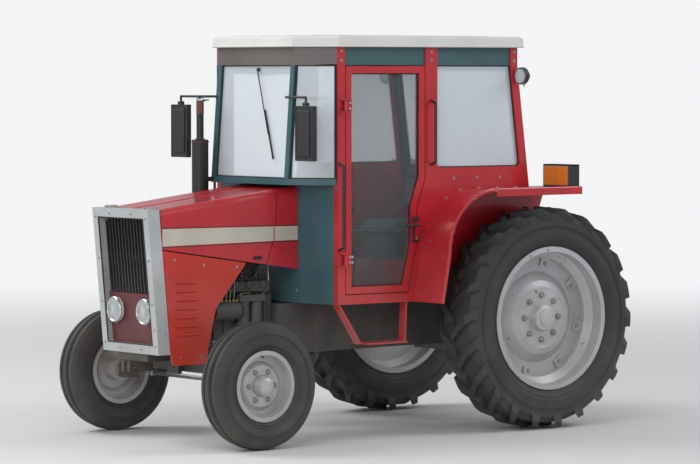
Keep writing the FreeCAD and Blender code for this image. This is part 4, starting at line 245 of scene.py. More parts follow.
def along(m, axis, start, end):
    """0 at one place along an axis and 1 at another."""
    parts = add(m, "ShaderNodeSeparateXYZ")
    link(m, place(m), parts.inputs[0])
    n = add(m, "ShaderNodeMapRange")
    link(m, parts.outputs[axis], n.inputs["Value"])
    n.inputs["From Min"].default_value = start
    n.inputs["From Max"].default_value = end
    return n.outputs[0]


def drifting(m, colour, tint, scale=3.5):
    """The colour, a little darker and lighter from place to place."""
    dark = tuple(c * (1 - tint) for c in colour)
    light = tuple(min(1, c * (1 + tint)) for c in colour)
    return ramp(m, noise(m, scale), [(0.3, dark), (0.7, light)])


def shader(name, rough, metal=0, coat=0):
    m = bpy.data.materials.new(name)
    m.use_nodes = True
    s = m.node_tree.nodes["Principled BSDF"]
    s.inputs["Roughness"].default_value = rough
    s.inputs["Metallic"].default_value = metal
    s.inputs["Coat Weight"].default_value = coat
    return m, s


def bumpy(m, s, strength, grain, depth=0.002):
    b = add(m, "ShaderNodeBump")
    b.inputs["Strength"].default_value = strength
    b.inputs["Distance"].default_value = depth
    link(m, noise(m, grain), b.inputs["Height"])
    link(m, b.outputs["Normal"], s.inputs["Normal"])


def finish(
    name, colour, rough, metal=0, coat=0, tint=0.1, dust=0.35, dust_top=1.3, bump=0, grain=60, speck=None
):
    """A finish that drifts in colour, dustier towards the ground; speck is a colour that breaks through."""
    m, s = shader(name, rough, metal, coat)
    colour_now = drifting(m, colour, tint)
    if speck:
        chips = ramp(m, noise(m, 26, 8), [(0.66, grey(0)), (0.72, grey(1))])
        colour_now = mix(m, chips, colour_now, speck)
    if dust:
        low = along(m, 2, dust_top, 0.15)
        patches = ramp(m, noise(m, 5, 8), [(0.3, grey(dust * 0.35)), (0.75, grey(dust))])
        colour_now = mix(m, times(m, low, patches), colour_now, DUST)
    link(m, colour_now, s.inputs["Base Color"])
    if bump:
        bumpy(m, s, bump, grain)
    return m


def two_tone(name, front, rear, where, rough):
    """One finish ahead of a place along X and another behind it."""
    m, s = shader(name, rough)
    share = along(m, 0, where, where + 0.004)
    link(m, mix(m, share, drifting(m, rear, 0.1), drifting(m, front, 0.1)), s.inputs["Base Color"])
    return m


def pane(name, colour, alpha, rough=0.05):
    """Thin glass: partly see-through, with a gloss of its own."""
    m, s = shader(name, rough)
    s.inputs["Base Color"].default_value = (*colour, 1)
    s.inputs["Alpha"].default_value = alpha
    s.inputs["IOR"].default_value = 1.5
    return m


PRIMER, OLD_OIL = (0.25, 0.19, 0.14), (0.10, 0.07, 0.05)
LOOKS = {
    "paint": finish("red_paint", (0.50, 0.016, 0.026), 0.3, coat=0.5, tint=0.14, speck=(0.16, 0.05, 0.03)),
    "silver": finish("silver_paint", (0.52, 0.53, 0.54), 0.36, metal=0.3, dust=0.5, speck=PRIMER),
    "teal": finish("teal_paint", (0.035, 0.10, 0.12), 0.4),
    "roof_white": finish("roof_white", (0.70, 0.70, 0.665), 0.8, dust=0, tint=0.05),
    "cast": finish("cast_iron_grey", (0.055, 0.06, 0.062), 0.6, bump=0.3, dust=0.45, speck=OLD_OIL),
    "dark_paint": finish("black_paint", (0.024, 0.024, 0.026), 0.45, dust=0.4),
    "tyre": finish("tyre_rubber", (0.020, 0.023, 0.026), 0.7, bump=0.4, grain=160, dust=0.2, dust_top=1.7),
    "glass": pane("window_glass", (0.16, 0.21, 0.22), 0.22),
    "black_plastic": finish("black_plastic", (0.02, 0.02, 0.022), 0.5, dust=0),
    "seat_cover": finish("seat_cover", (0.04, 0.06, 0.10), 0.55, bump=0.3, grain=220, dust=0),
    "lamp": pane("lamp_lens", (0.60, 0.62, 0.62), 1.0),
    "steel": finish("bare_steel", (0.38, 0.38, 0.37), 0.4, metal=0.8, speck=(0.20, 0.12, 0.07)),
    "lining": finish("cab_lining", (0.06, 0.06, 0.065), 0.7, dust=0),
}
RED_LOW = finish("red_paint_side", (0.56, 0.020, 0.008), 0.36, coat=0.25, tint=0.12, speck=(0.2, 0.06, 0.03))
# The red paint darkened for the nose panel: painted shade for the panel that sits in shadow inside the nose
# frame.
RED_PAINTED_SHADE = finish("red_paint_painted_shade", (0.11, 0.006, 0.016), 0.45)
STRIPE = finish("stripe_paint", (0.55, 0.50, 0.42), 0.4, dust=0)
RUBBER = finish("rubber_seal", (0.012, 0.012, 0.012), 0.7, dust=0.2)
CHROME = finish("bright_metal", (0.70, 0.70, 0.70), 0.18, metal=1, dust=0, tint=0.04)
MIRROR = finish("mirror_glass", (0.75, 0.78, 0.80), 0.05, metal=1, dust=0, tint=0.01)
AMBER = pane("amber_lens", (0.85, 0.25, 0.03), 0.9, 0.2)
RED_LENS = pane("red_lens", (0.55, 0.02, 0.02), 0.9, 0.2)
FLUTES = pane("lens_flutes", (0.42, 0.45, 0.47), 0.9, 0.1)
PIPING = finish("seat_piping", (0.018, 0.022, 0.032), 0.5, dust=0)
BRASS = finish("fuel_pipe", (0.42, 0.33, 0.18), 0.35, metal=0.8, dust=0)
DIAL = finish("dial_face", (0.03, 0.03, 0.03), 0.3, dust=0)
WHITE = finish("white_mark", (0.8, 0.8, 0.78), 0.5, dust=0)
RUST = finish("rusty_pipe", (0.13, 0.07, 0.045), 0.8, bump=0.4, dust=0, tint=0.3)
# The windscreen glass: its pale blue-white colour is a painted reflection of the bright sky, on top of the
# glass's own gloss.
SCREEN_GLASS_PAINTED_GLARE = pane("screen_glass_painted_reflection", (0.80, 0.88, 0.94), 0.46)
SPECIAL = {
    "cab_header": two_tone("header_paint", (0.13, 0.11, 0.105), (0.045, 0.11, 0.12), 0.55, 0.45),
    "side_panels": RED_LOW,
    # The nose panel takes the red with painted shade.
    "nose_panel": RED_PAINTED_SHADE,
    # The windscreen takes the glass with a painted sky reflection.
    "cab_glass": SCREEN_GLASS_PAINTED_GLARE,
}


def paint_frame():
    """Each CAD node takes the finish of its slot, or its own."""
    for name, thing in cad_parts.items():
        for slot in thing.material_slots:
            slot.material = SPECIAL.get(name) or LOOKS[slot.material.name]


# Pieces
BOX_FACES = ((0, 1, 3, 2), (4, 6, 7, 5), (0, 4, 5, 1), (2, 3, 7, 6), (0, 2, 6, 4), (1, 5, 7, 3))


def placed(name, data):
    """A new object in the scene."""
    thing = bpy.data.objects.new(name, data)
    bpy.context.scene.collection.objects.link(thing)
    return thing


def skin(rings, sides, closed):
    """The faces between rings of points, and between the last and the first if the row is closed."""
    faces = []
    for i in range(rings if closed else rings - 1):
        for j in range(sides):
            a, b, k = i * sides, (i + 1) % rings * sides, (j + 1) % sides
            faces.append((a + j, a + k, b + k, b + j))
    if not closed:
        faces += [tuple(reversed(range(sides))), tuple(range((rings - 1) * sides, rings * sides))]
    return faces


class Piece:
    """A mesh put together from simple forms, which rides on one body."""

    def __init__(self, name, slot, body="chassis", look=None):
        self.name, self.slot, self.body, self.look = name, slot, body, look or LOOKS[slot]
        self.points, self.faces = [], []

    def form(self, points, faces):
        """Adds points and faces, and gives the piece back, as box, turned and pipe do."""
        first = len(self.points)
        self.points += [tuple(p) for p in points]
        self.faces += [tuple(first + i for i in f) for f in faces]
        return self

    def box(self, middle, size, turn=None):
        """A block; turn is a rotation about its middle."""
        turn = turn or Matrix.Identity(3)
        middle, half = Vector(middle), Vector(size) / 2
        signs = [(x, y, z) for x in (-1, 1) for y in (-1, 1) for z in (-1, 1)]
        points = [middle + turn @ Vector((half.x * a, half.y * b, half.z * c)) for a, b, c in signs]
        return self.form(points, BOX_FACES)

    def turned(self, at, axis, profile, sides=16, start=0):
        """A solid of revolution; profile is (radius, place along the axis)."""
        axis = Vector(axis).normalized()
        across = axis.orthogonal().normalized()
        up = axis.cross(across)
        points = []
        for radius, along_axis in profile:
            for i in range(sides):
                angle = start + 2 * math.pi * i / sides
                out = across * math.cos(angle) + up * math.sin(angle)
                points.append(Vector(at) + axis * along_axis + out * radius)
        return self.form(points, skin(len(profile), sides, closed=False))

    def rod(self, start, end, radius, sides=12):
        start, end = Vector(start), Vector(end)
        self.turned(start, end - start, [(radius, 0), (radius, (end - start).length)], sides)

    def bolt(self, at, axis, radius=0.011, height=0.009, washer=True):
        """A hexagon head on a washer."""
        if washer:
            self.turned(at, axis, [(radius * 1.35, 0), (radius * 1.35, height * 0.25)], 14)
        self.turned(at, axis, [(radius, 0), (radius, height * 0.85), (radius * 0.86, height)], 6)

    def ring(self, at, axis, radius, thick, around=40, across=8):
        axis = Vector(axis).normalized()
        u = axis.orthogonal().normalized()
        v = axis.cross(u)
        points = []
        for i in range(around):
            a = 2 * math.pi * i / around
            out = u * math.cos(a) + v * math.sin(a)
            for j in range(across):
                b = 2 * math.pi * j / across
                points.append(Vector(at) + out * (radius + thick * math.cos(b)) + axis * thick * math.sin(b))
        self.form(points, skin(around, across, closed=True))

    def pipe(self, points, radius, sides=8, closed=False):
        """A round pipe through points, with mitred corners."""
        points = [Vector(p) for p in points]
        count = len(points)
        wall = []
        normal = None
        for i, p in enumerate(points):
            legs = []
            if i or closed:
                legs.append((p - points[i - 1]).normalized())
            if i < count - 1 or closed:
                legs.append((points[(i + 1) % count] - p).normalized())
            along_pipe = sum(legs, Vector()).normalized()
            stretch = 1 / max(0.5, along_pipe.dot(legs[0]))
            if normal is None:
                normal = along_pipe.orthogonal().normalized()
            normal = (normal - along_pipe * normal.dot(along_pipe)).normalized()
            side = along_pipe.cross(normal)
            fold = legs[-1] - legs[0]
            fold = fold.normalized() if fold.length > 1e-4 else None
            for j in range(sides):
                a = 2 * math.pi * j / sides
                out = (normal * math.cos(a) + side * math.sin(a)) * radius
                if fold:
                    out += fold * out.dot(fold) * (stretch - 1)
                wall.append(p + out)
        return self.form(wall, skin(count, sides, closed))

    def done(self, smooth=30, bevel=0):
        """Makes the mesh, with outward faces and sharp edges past an angle, and lets it ride."""
        mesh = bpy.data.meshes.new(self.name)
        mesh.from_pydata(self.points, [], self.faces)
        mesh.update()
        work = bmesh.new()
        work.from_mesh(mesh)
        bmesh.ops.recalc_face_normals(work, faces=work.faces)
        work.to_mesh(mesh)
        work.free()
        mesh.materials.append(self.look)
        mesh.shade_smooth()
        mesh.set_sharp_from_angle(angle=math.radians(smooth))
        thing = placed(self.name, mesh)
        if bevel:
            soften = thing.modifiers.new("edges", "BEVEL")
            soften.width = bevel
            soften.segments = 2
        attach(thing, self.body)
        return thing


def around(middle, radius, count, start=0.0):
    """Places round an axle, evenly spaced, in the plane across it."""
    for i in range(count):
        angle = start + 2 * math.pi * i / count
        yield Vector(middle) + Vector((math.cos(angle) * radius, 0, math.sin(angle) * radius))


# Wheels
def sidewall_ribs(name, body, hub, rings):
    """Ribs moulded round both sidewalls."""
    ribs = Piece(name, "tyre", body)
    for face in BOTH:
        for radius, offset, thick, steps in rings:
            ribs.ring(hub + Y * face * offset, Y, radius, thick, steps, 6)
    ribs.done()


def rear_wheel_details(name, side):
    """Rim clamps, wheel nuts, valve and the ribs moulded on the sidewalls."""
    body = f"rear_wheel_{name}"
    _, _, hub = box_of(f"tyre_rear_{name}")
    out = Y * side
    rim_low, rim_high, _ = box_of(f"wheel_rear_{name}")
    rim_radius = (rim_high.x - rim_low.x) / 2
    nuts = Piece(f"rear_nuts_{name}", "steel", body)
    for at in around(hub + out * 0.048, 0.148, 8):
        nuts.bolt(at, out, 0.017, 0.02)
        nuts.rod(at, at + out * 0.03, 0.008, 8)
    for at in around(hub + out * 0.001, 0.36, CLAMPS, CLAMP_START):
        nuts.bolt(at, out, 0.012, 0.011)
    nuts.done()
    clamps = Piece(f"rear_clamps_{name}", "silver", body)
    for i, at in enumerate(around(hub - out * 0.004, 0.372, CLAMPS, CLAMP_START)):
        angle = CLAMP_START + 2 * math.pi * i / CLAMPS
        clamps.box(at, (0.07, 0.012, 0.075), Matrix.Rotation(-angle, 3, "Y"))
    clamps.turned(hub + out * 0.096, out, [(0.052, -0.002), (0.052, 0.006), (0.03, 0.012)], 24)
    clamps.ring(hub + out * 0.0475, out, 0.2, 0.004, 60, 6)
    clamps.done(bevel=0.002)
    sidewall_ribs(f"rear_sidewall_{name}", body, hub, REAR_RIBS)
    foot = hub + out * 0.03 + X * (rim_radius - 0.072)
    stem = [foot, foot + out * 0.035 - X * 0.01, foot + out * 0.06 - X * 0.02]
    Piece(f"rear_valve_{name}", "black_plastic", body).pipe(stem, 0.0045).done()


def front_wheel_details(name, side):
    """Wheel nuts, hub cap lip, valve and the ribs moulded on the sidewalls."""
    body = f"front_wheel_{name}"
    _, _, hub = box_of(f"tyre_front_{name}")
    out = Y * side
    nuts = Piece(f"front_nuts_{name}", "steel", body)
    for at in around(hub + out * 0.032, 0.1, 6):
        nuts.bolt(at, out, 0.014, 0.016)
        nuts.rod(at, at + out * 0.023, 0.006, 8)
    nuts.ring(hub + out * 0.034, out, 0.066, 0.004, 40, 6)
    nuts.done()
    lip = [(0.05, 0), (0.05, 0.008), (0.034, 0.016), (0.012, 0.018)]
    Piece(f"front_cap_{name}", "silver", body).turned(hub + out * 0.08, out, lip, 28).done()
    sidewall_ribs(f"front_sidewall_{name}", body, hub, FRONT_RIBS)
    foot = hub + out * 0.01 + Z * 0.19
    stem = [foot, foot + out * 0.03 - Z * 0.006, foot + out * 0.045 - Z * 0.014]
    Piece(f"front_valve_{name}", "black_plastic", body).pipe(stem, 0.004).done()


# Nose, bonnet and lamps
def flutes(piece, at, radius, count):
    """Upright ribs moulded in a lamp's lens."""
    for i in range(count):
        y = radius * ((i + 0.5) / count * 2 - 1)
        reach = math.sqrt(radius * radius - y * y)
        ends = [Vector((0, y, -reach)), Vector((0.004 * reach / radius, y, 0)), Vector((0, y, reach))]
        piece.pipe([at + end for end in ends], 0.0022, 6)


def headlamps():
    """Chrome rims with clear ribbed lenses over the two lamps in the nose."""
    lens_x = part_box("lamps")[1].x
    rims = Piece("headlamp_rims", "steel", look=CHROME)
    glass = Piece("headlamp_flutes", "lamp", look=FLUTES)
    screws = Piece("headlamp_screws", "steel")
    for side in BOTH:
        at = Vector((lens_x - 0.012, side * LAMP_Y, LAMP_Z))
        rims.ring(at, X, LAMP_RADIUS - 0.004, 0.0065, 60, 10)
        rims.ring(at + X * 0.003, X, LAMP_RADIUS - 0.013, 0.003, 60, 6)
        flutes(glass, at + X * 0.0065, LAMP_RADIUS - 0.018, 10)
        for off in around((0, 0, 0), LAMP_RADIUS + 0.006, 3, 0.52):
            screws.bolt(at + Vector((-0.018, off.x, off.z)), X, 0.005, 0.004)
    rims.done()
    glass.done()
    screws.done()


def nose_line(z):
    """The nose frame's front plane at a height."""
    low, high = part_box("nose_frame")
    return high.x - NOSE_LEAN * (high.z - NOSE_HINGE - z) / (high.z - NOSE_HINGE - low.z)


def nose_details():
    """Fine mesh behind the grille, screws in the frame and a bead round its opening."""
    low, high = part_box("grille")
    mesh = Piece("grille_mesh", "dark_paint")
    foot_x = nose_line(low.z) - MESH_BACK
    lean = Vector((nose_line(high.z) - nose_line(low.z), 0, high.z - low.z))
    for i in range(MESH_UPRIGHTS):
        y = low.y + (high.y - low.y) * (i + 0.5) / MESH_UPRIGHTS
        foot = Vector((foot_x, y, low.z))
        mesh.pipe([foot, foot + lean], MESH_WIRE, 4)
    for i in range(MESH_LEVELS):
        at = Vector((foot_x - 0.002, 0, low.z)) + lean * (i + 0.5) / MESH_LEVELS
        mesh.pipe([at + Y * low.y, at + Y * high.y], MESH_WIRE, 4)
    mesh.done()
    frame_low, frame_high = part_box("nose_frame")
    top, bottom, half = frame_high.z - NOSE_HINGE, frame_low.z, frame_high.y
    screws = Piece("nose_screws", "steel")
    for side in BOTH:
        heights = [bottom + (top - bottom) * share for share in (0.06, 0.35, 0.65, 0.94)]
        places = [(half - 0.03, z) for z in heights] + [(0.12, bottom + 0.03), (0.12, top - 0.03)]
        for y, z in places:
            screws.bolt((nose_line(z) - 0.001, side * y, z), (1, 0, 0.09), 0.007, 0.005)
    screws.done()
    opening, bottom, top = (half - NOSE_RIM) * 0.998, bottom + NOSE_RIM, top - NOSE_RIM
    corners = [(-opening, bottom), (opening, bottom), (opening, top), (-opening, top)]
    loop = [(nose_line(z) - 0.001, y, z) for y, z in corners]
    Piece("nose_seal", "black_plastic", look=RUBBER).pipe(loop, 0.0045, 8, closed=True).done()


def skirt_height(x):
    """The bonnet's lower edge at a place along X."""
    rear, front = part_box("cowl")[0].x, NOSE_TOP_X - 0.07
    return SKIRT_REAR + (SKIRT_FRONT - SKIRT_REAR) * (x - rear) / (front - rear)


def bonnet_details():
    """The pale stripe with a dark edge along both sides, ridges on the top and two catches."""
    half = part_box("bonnet")[1].y
    cowl_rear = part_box("cowl")[0].x
    for body, name, x0, x1 in (
        ("chassis", "cowl", cowl_rear + 0.001, COWL_EDGE),
        ("bonnet", "bonnet", COWL_EDGE + 0.009, nose_line(1.32) - 0.098),
    ):
        bands = Piece(f"stripe_{name}", "silver", body, look=STRIPE)
        edges = Piece(f"stripe_edges_{name}", "dark_paint", body)
        for side in BOTH:
            ends = []
            for x in (x0, x1):
                share = (x - cowl_rear) / (NOSE_TOP_X - cowl_rear)
                ends.append((x, STRIPE_FOOT - 0.014 * share, STRIPE_TOP + 0.008 * share))
            faces_y = (side * half, side * (half + 0.0012))
            corners = [(x, y, z) for x, foot, top in ends for y in faces_y for z in (foot, top)]
            bands.form(corners, BOX_FACES)
            edges.pipe([(x, faces_y[1], foot - 0.006) for x, foot, _ in ends], 0.0022, 6)
            edges.pipe([(x, faces_y[1], top + 0.006) for x, _, top in ends], 0.0022, 6)
        bands.done()
        edges.done()
    seam = Piece("bonnet_ridge", "paint", "bonnet")
    rear_x = COWL_EDGE + 0.02
    rear_z = 1.632 - 0.1239 * (rear_x - cowl_rear)
    for y, sunk, radius in ((0, 0.001, 0.006), (0.15, 0.002, 0.004), (-0.15, 0.002, 0.004)):
        seam.pipe([(rear_x, y, rear_z - sunk), (1.745, y, 1.4975 - sunk)], radius, 8)
    seam.done()
    catches = Piece("bonnet_catches", "black_plastic", "bonnet")
    for side in BOTH:
        at = Vector((1.0, side * (half + 0.006), skirt_height(1.0) + 0.035))
        catches.box(at, (0.05, 0.012, 0.022))
        catches.pipe([at + Vector((0.02, side * 0.006, 0)), at + Vector((-0.03, side * 0.014, 0))], 0.004)
    catches.done(bevel=0.002)


def side_panel_details():
    """Pressed louvres and quarter-turn fasteners on the panels beside the radiator."""
    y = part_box("side_panels")[1].y
    louvres = Piece("panel_louvres", "paint", look=RED_LOW)
    screws = Piece("panel_screws", "steel")
    for side in BOTH:
        slope = Matrix.Rotation(-0.35 * side, 3, "X")
        for i in range(7):
            louvres.box((1.555, side * (y + 0.003), 0.70 + 0.055 * i), (0.16, 0.006, 0.012), slope)
        for x, z in PANEL_SCREWS:
            screws.bolt((x, side * y, z), Y * side, 0.0075, 0.004)
    louvres.done(bevel=0.002)
    screws.done()


# Window seals
def pane_loops(node, outward):
    """The edges of a pane's outer faces, as closed loops of points, found from the CAD node's mesh."""
    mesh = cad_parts[node].data
    edges = {}
    for face in mesh.polygons:
        if face.normal.dot(outward(face.center)) > 0.6:
            ring = [tuple(round(place, 4) for place in mesh.vertices[i].co) for i in face.vertices]
            for a, b in zip(ring, ring[1:] + ring[:1]):
                if (b, a) in edges:
                    del edges[(b, a)]
                else:
                    edges[(a, b)] = True
    after = {a: b for a, b in edges}
    loops = []
    while after:
        start, at = next(iter(after.items()))
        del after[start]
        loop = [start]
        while at != start and at in after:
            loop.append(at)
            at = after.pop(at)
        if len(loop) > 2:
            loops.append([Vector(p) for p in loop])
    return loops


def straightened(loop):
    """The loop without points that lie within a hair of a straight run."""
    kept = [loop[0]]
    for p, after in zip(loop[1:], loop[2:] + loop[:1]):
        chord = (after - kept[-1]).normalized()
        off = (p - kept[-1]) - chord * (p - kept[-1]).dot(chord)
        if off.length > 0.0004:
            kept.append(p)
    return kept


def outward_from_cab(at):
    """Level direction from the cab's middle to a pane, by whichever wall it is in."""
    side = 1 if at.y > 0 else -1
    if at.x > FRONT_POST_X:
        return Vector((0.75, 0.66 * side, 0)) if abs(at.y) > SCREEN_HALF else X
    if abs(at.y) > CAB_SIDE - 0.04:
        return Y * side
    return -X


def window_seals():
    """A rubber bead round the outer face of every pane."""
    for node, body in (
        ("cab_glass", "chassis"),
        ("door_glass_left", "door_left"),
        ("door_glass_right", "door_right"),
    ):
        seal = Piece(f"seal_{node}", "black_plastic", body, look=RUBBER)
        for loop in pane_loops(node, outward_from_cab):
            seal.pipe(straightened(loop), 0.0075, 6, closed=True)
        seal.done(smooth=60)


# Cab outside
def wiper(name, pivot, tip, out):
    """A windscreen wiper: spindle, arm and blade lying on the glass."""
    arm = Piece(name, "black_plastic")
    arm.turned(pivot, out, [(0.012, -0.006), (0.012, 0.012), (0.006, 0.02)], 14)
    arm.pipe([pivot + out * 0.016, tip + out * 0.016], 0.004, 6)
    blade = (tip - pivot).to_track_quat("Z", "Y").to_matrix()
    arm.box(tip + out * 0.009, (0.008, 0.012, 0.34), blade)
    arm.done()


def cab_outside():
    """Wiper with its motor, gutter and ribs on the roof, screws in the frames and grab rails."""
    header_low, header_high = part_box("cab_header")
    roof_low, roof_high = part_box("cab_roof")
    foot_x, foot_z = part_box("cab_front")[1].x - 0.021, SCREEN_FOOT_Z
    top_x, top_z = header_high.x - 0.021, header_low.z
    slope = Vector((top_x - foot_x, 0, top_z - foot_z)).normalized()
    out = Vector((slope.z, 0, -slope.x))
    pivot = Vector((top_x, 0.02, top_z)) - slope * 0.03 + out * 0.004
    wiper("screen_wiper", pivot, pivot - slope * 0.42 + Y * 0.16, out)
    motor = Piece("wiper_motor", "black_plastic")
    motor.box((top_x - 0.05, 0.02, top_z - 0.04), (0.05, 0.16, 0.055)).done(bevel=0.006)
    gutter = Piece("roof_gutter", "roof_white")
    front_x, corner_x, rear_x = header_high.x + 0.026, FRONT_POST_X + 0.012, roof_low.x + 0.002
    front_y, rear_y = SCREEN_HALF + 0.012, roof_high.y - 0.002
    corners = [(front_x, -front_y), (front_x, front_y), (corner_x, rear_y)]
    corners += [(rear_x, rear_y), (rear_x, -rear_y), (corner_x, -rear_y)]
    gutter.pipe([(x, y, roof_low.z + 0.004) for x, y in corners], 0.007, 8, closed=True)
    ridge_z = roof_high.z - 0.002
    for y in (-0.42, -0.14, 0.14, 0.42):
        gutter.pipe([(roof_low.x + 0.08, y, ridge_z), (header_high.x - 0.14, y, ridge_z)], 0.009, 8)
    gutter.done()
    screws = Piece("cab_screws", "steel")
    posts = (FRONT_POST_X - 0.03, REAR_POST_X - 0.05, header_low.x + 0.03)
    places = [(x, z) for x in posts for z in (header_low.z + 0.03, header_high.z - 0.03)]
    places += [(x, 1.668) for x in (-0.75, -0.55, -0.35)]
    for side in BOTH:
        for x, z in places:
            screws.bolt((x, side * CAB_SIDE, z), Y * side, 0.008, 0.005)
        for z in (0.95, 1.25, 1.55):
            screws.bolt((BULKHEAD_X, side * 0.30, z), X, 0.008, 0.005)
    screws.done()
    rails = Piece("grab_rails", "black_plastic")
    for side in BOTH:
        y, out_y = side * CAB_SIDE, side * (CAB_SIDE + 0.045)
        for x, foot, top in ((FRONT_POST_X - 0.012, 1.22, 1.78), (REAR_POST_X - 0.05, 1.76, 2.18)):
            rails.pipe([(x, y, foot), (x, out_y, foot + 0.02), (x, out_y, top - 0.02), (x, y, top)], 0.009)
    rails.done()


def door_details(name, side):
    """Lever handle, lock, hinge screws and the grab bar inside."""
    body = f"door_{name}"
    y = side * CAB_SIDE
    lever = Piece(f"door_handle_{name}", "black_plastic", body)
    lever.box((HANDLE_X, y + side * 0.004, 1.34), (0.046, 0.01, 0.17))
    bend = (HANDLE_X, y + side * 0.04, 1.37)
    lever.pipe([(HANDLE_X, y, 1.37), bend, (HANDLE_X + 0.11, y + side * 0.045, 1.365)], 0.009)
    lever.done(bevel=0.002)
    lock = Piece(f"door_lock_{name}", "steel", body, look=CHROME)
    barrel = [(0.012, 0), (0.012, 0.006), (0.004, 0.007)]
    lock.turned((HANDLE_X, y + side * 0.008, 1.285), Y * side, barrel, 18)
    for z in (1.16, 2.15):
        for dx in (0.012, 0.032):
            for dz in (-0.018, 0.018):
                lock.bolt((HINGE_X - 0.028 - dx, y + side * 0.012, z + dz), Y * side, 0.006, 0.004)
    lock.done()
    foot_y, bar_y = side * 0.62, side * 0.57
    bar = [(0.50, foot_y, 1.32), (0.50, bar_y, 1.34), (0.10, bar_y, 1.34), (0.06, foot_y, 1.32)]
    Piece(f"door_grab_{name}", "black_plastic", body).pipe(bar, 0.009).done()


def mirror_details():
    """Mirror glass on the rear faces, backs with a lip and clamps on the arms."""
    low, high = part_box("mirrors")
    glass = Piece("mirror_glass", "steel", look=MIRROR)
    shells = Piece("mirror_backs", "black_plastic")
    middle_z = low.z + MIRROR_HEIGHT / 2
    x = high.x - 0.016
    for side in BOTH:
        y = side * (high.y - 0.085)
        glass.box((x - 0.0165, y, middle_z), (0.003, 0.15, 0.318))
        shells.box((x + 0.018, y, middle_z), (0.012, 0.13, 0.29))
        for end in BOTH:
            shells.box((x, y, middle_z + end * 0.172), (0.04, 0.176, 0.007))
            shells.box((x, y + end * 0.087, middle_z), (0.04, 0.007, 0.348))
        shells.box((x, y, low.z + MIRROR_HEIGHT + 0.012), (0.03, 0.04, 0.03))
    glass.done(bevel=0.001)
    shells.done(bevel=0.004)


def rear_lamps():
    """Amber and red lenses with black backs on the fenders' lamps, and the work lamps' shells and lenses."""
    _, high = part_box("fenders")
    rear_x, front_x = REAR_LAMP_X
    middle_x, long = (rear_x + front_x) / 2, front_x - rear_x + 0.012
    inner, outer = 0.69, high.y - 0.02
    wide, z = outer - inner, high.z + 0.075
    amber = Piece("turn_lenses", "lamp", look=AMBER)
    red = Piece("tail_lenses", "lamp", look=RED_LENS)
    backs = Piece("rear_lamp_shells", "black_plastic")
    glass = Piece("work_lamp_flutes", "lamp", look=FLUTES)
    for side in BOTH:
        middle = side * (inner + outer) / 2
        for x, inboard in ((front_x + 0.006, amber), (rear_x - 0.006, red)):
            for lens, end in ((amber, 1), (inboard, -1)):
                lens.box((x, middle + end * side * wide * 0.24, z), (0.014, wide * 0.46, 0.125))
        for end in BOTH:
            backs.box((middle_x, middle, z + end * 0.071), (long, wide + 0.012, 0.01))
            backs.box((middle_x, middle + end * (wide / 2 + 0.002), z), (long, 0.008, 0.15))
        foot = Vector((WORK_LAMP_X, side * WORK_LAMP[0], WORK_LAMP[1]))
        backs.turned(foot, X, WORK_LAMP_SHELL, 32)
        backs.pipe([foot + Vector((0.02, 0, -0.04)), foot + Vector((0, side * -0.03, -0.07))], 0.004)
        flutes(glass, foot + X * 0.0605, 0.047, 6)
    glass.done()
    amber.done(bevel=0.003)
    red.done(bevel=0.003)
    backs.done(bevel=0.003)


# Engine bay
def engine_details():
    """Injection pipes with their unions, bolts along the flanges, ribs and the manifold's stubs."""
    pipes = Piece("injection_pipes", "steel", look=BRASS)
    for i in range(CYLINDERS):
        x, pump_x = ENGINE_REAR + 0.09 + i * 0.112, 1.12 + i * 0.03
        rise = [(pump_x, 0.212, 0.885), (pump_x, 0.222, 0.93), (pump_x - 0.02, 0.20, 1.075)]
        pipes.pipe(rise + [(x + 0.03, 0.15, 1.09), (x, 0.115, 1.075), (x, 0.10, 1.03)], 0.0042)
        pipes.turned((x, 0.10, 1.028), Z, [(0.012, 0), (0.012, 0.02), (0.007, 0.028)], 6)
        pipes.turned((pump_x, 0.212, 0.888), Z, [(0.011, 0), (0.011, 0.016)], 6)
    for points in FUEL_PIPES:
        pipes.pipe(points, 0.0045)
    pipes.done()
    bolts = Piece("engine_bolts", "steel")
    for side in BOTH:
        for i in range(8):
            bolts.bolt((ENGINE_REAR + 0.05 + i * 0.059, side * 0.121, 0.597), -Z, 0.008, 0.007)
        for i in range(5):
            bolts.bolt((ENGINE_REAR + 0.06 + i * 0.1, side * 0.15, 0.64), Y * side, 0.010, 0.008)
            bolts.bolt((ENGINE_REAR + 0.08 + i * 0.09, side * 0.131, 0.955), Y * side, 0.009, 0.008)
        for z in (0.65, 0.75, 0.85, 0.93):
            bolts.bolt((1.318, side * 0.17, z), Y * side, 0.009, 0.008)
    for i in range(4):
        bolts.bolt((ENGINE_REAR + 0.11 + i * 0.1, 0, 1.12), Z, 0.011, 0.012)
    bolts.done()
    ribs = Piece("engine_ribs", "cast")
    for side in BOTH:
        for i in range(6):
            ribs.box((ENGINE_REAR + 0.06 + i * 0.08, side * 0.154, 0.77), (0.016, 0.012, 0.26))
        for z in (0.615, 0.915):
            ribs.box((1.03, side * 0.152, z), (0.50, 0.012, 0.02))
        for i in range(CYLINDERS):
            at = (ENGINE_REAR + 0.1 + i * 0.11, side * 0.135, 0.995)
            ribs.turned(at, Y * side, [(0.026, 0), (0.026, 0.065), (0.02, 0.07)], 16)
    for i in range(5):
        at = (ENGINE_REAR + 0.285 + 0.1 * (i % 2), 0.202, 0.745 + 0.028 * i)
        ribs.turned(at, Z, [(0.0435, 0), (0.0435, 0.008)], 28)
    ribs.turned((ENGINE_REAR + 0.24, 0, 1.118), Z, [(0.028, 0), (0.028, 0.03), (0.022, 0.036)], 20)
    ribs.done(bevel=0.003)


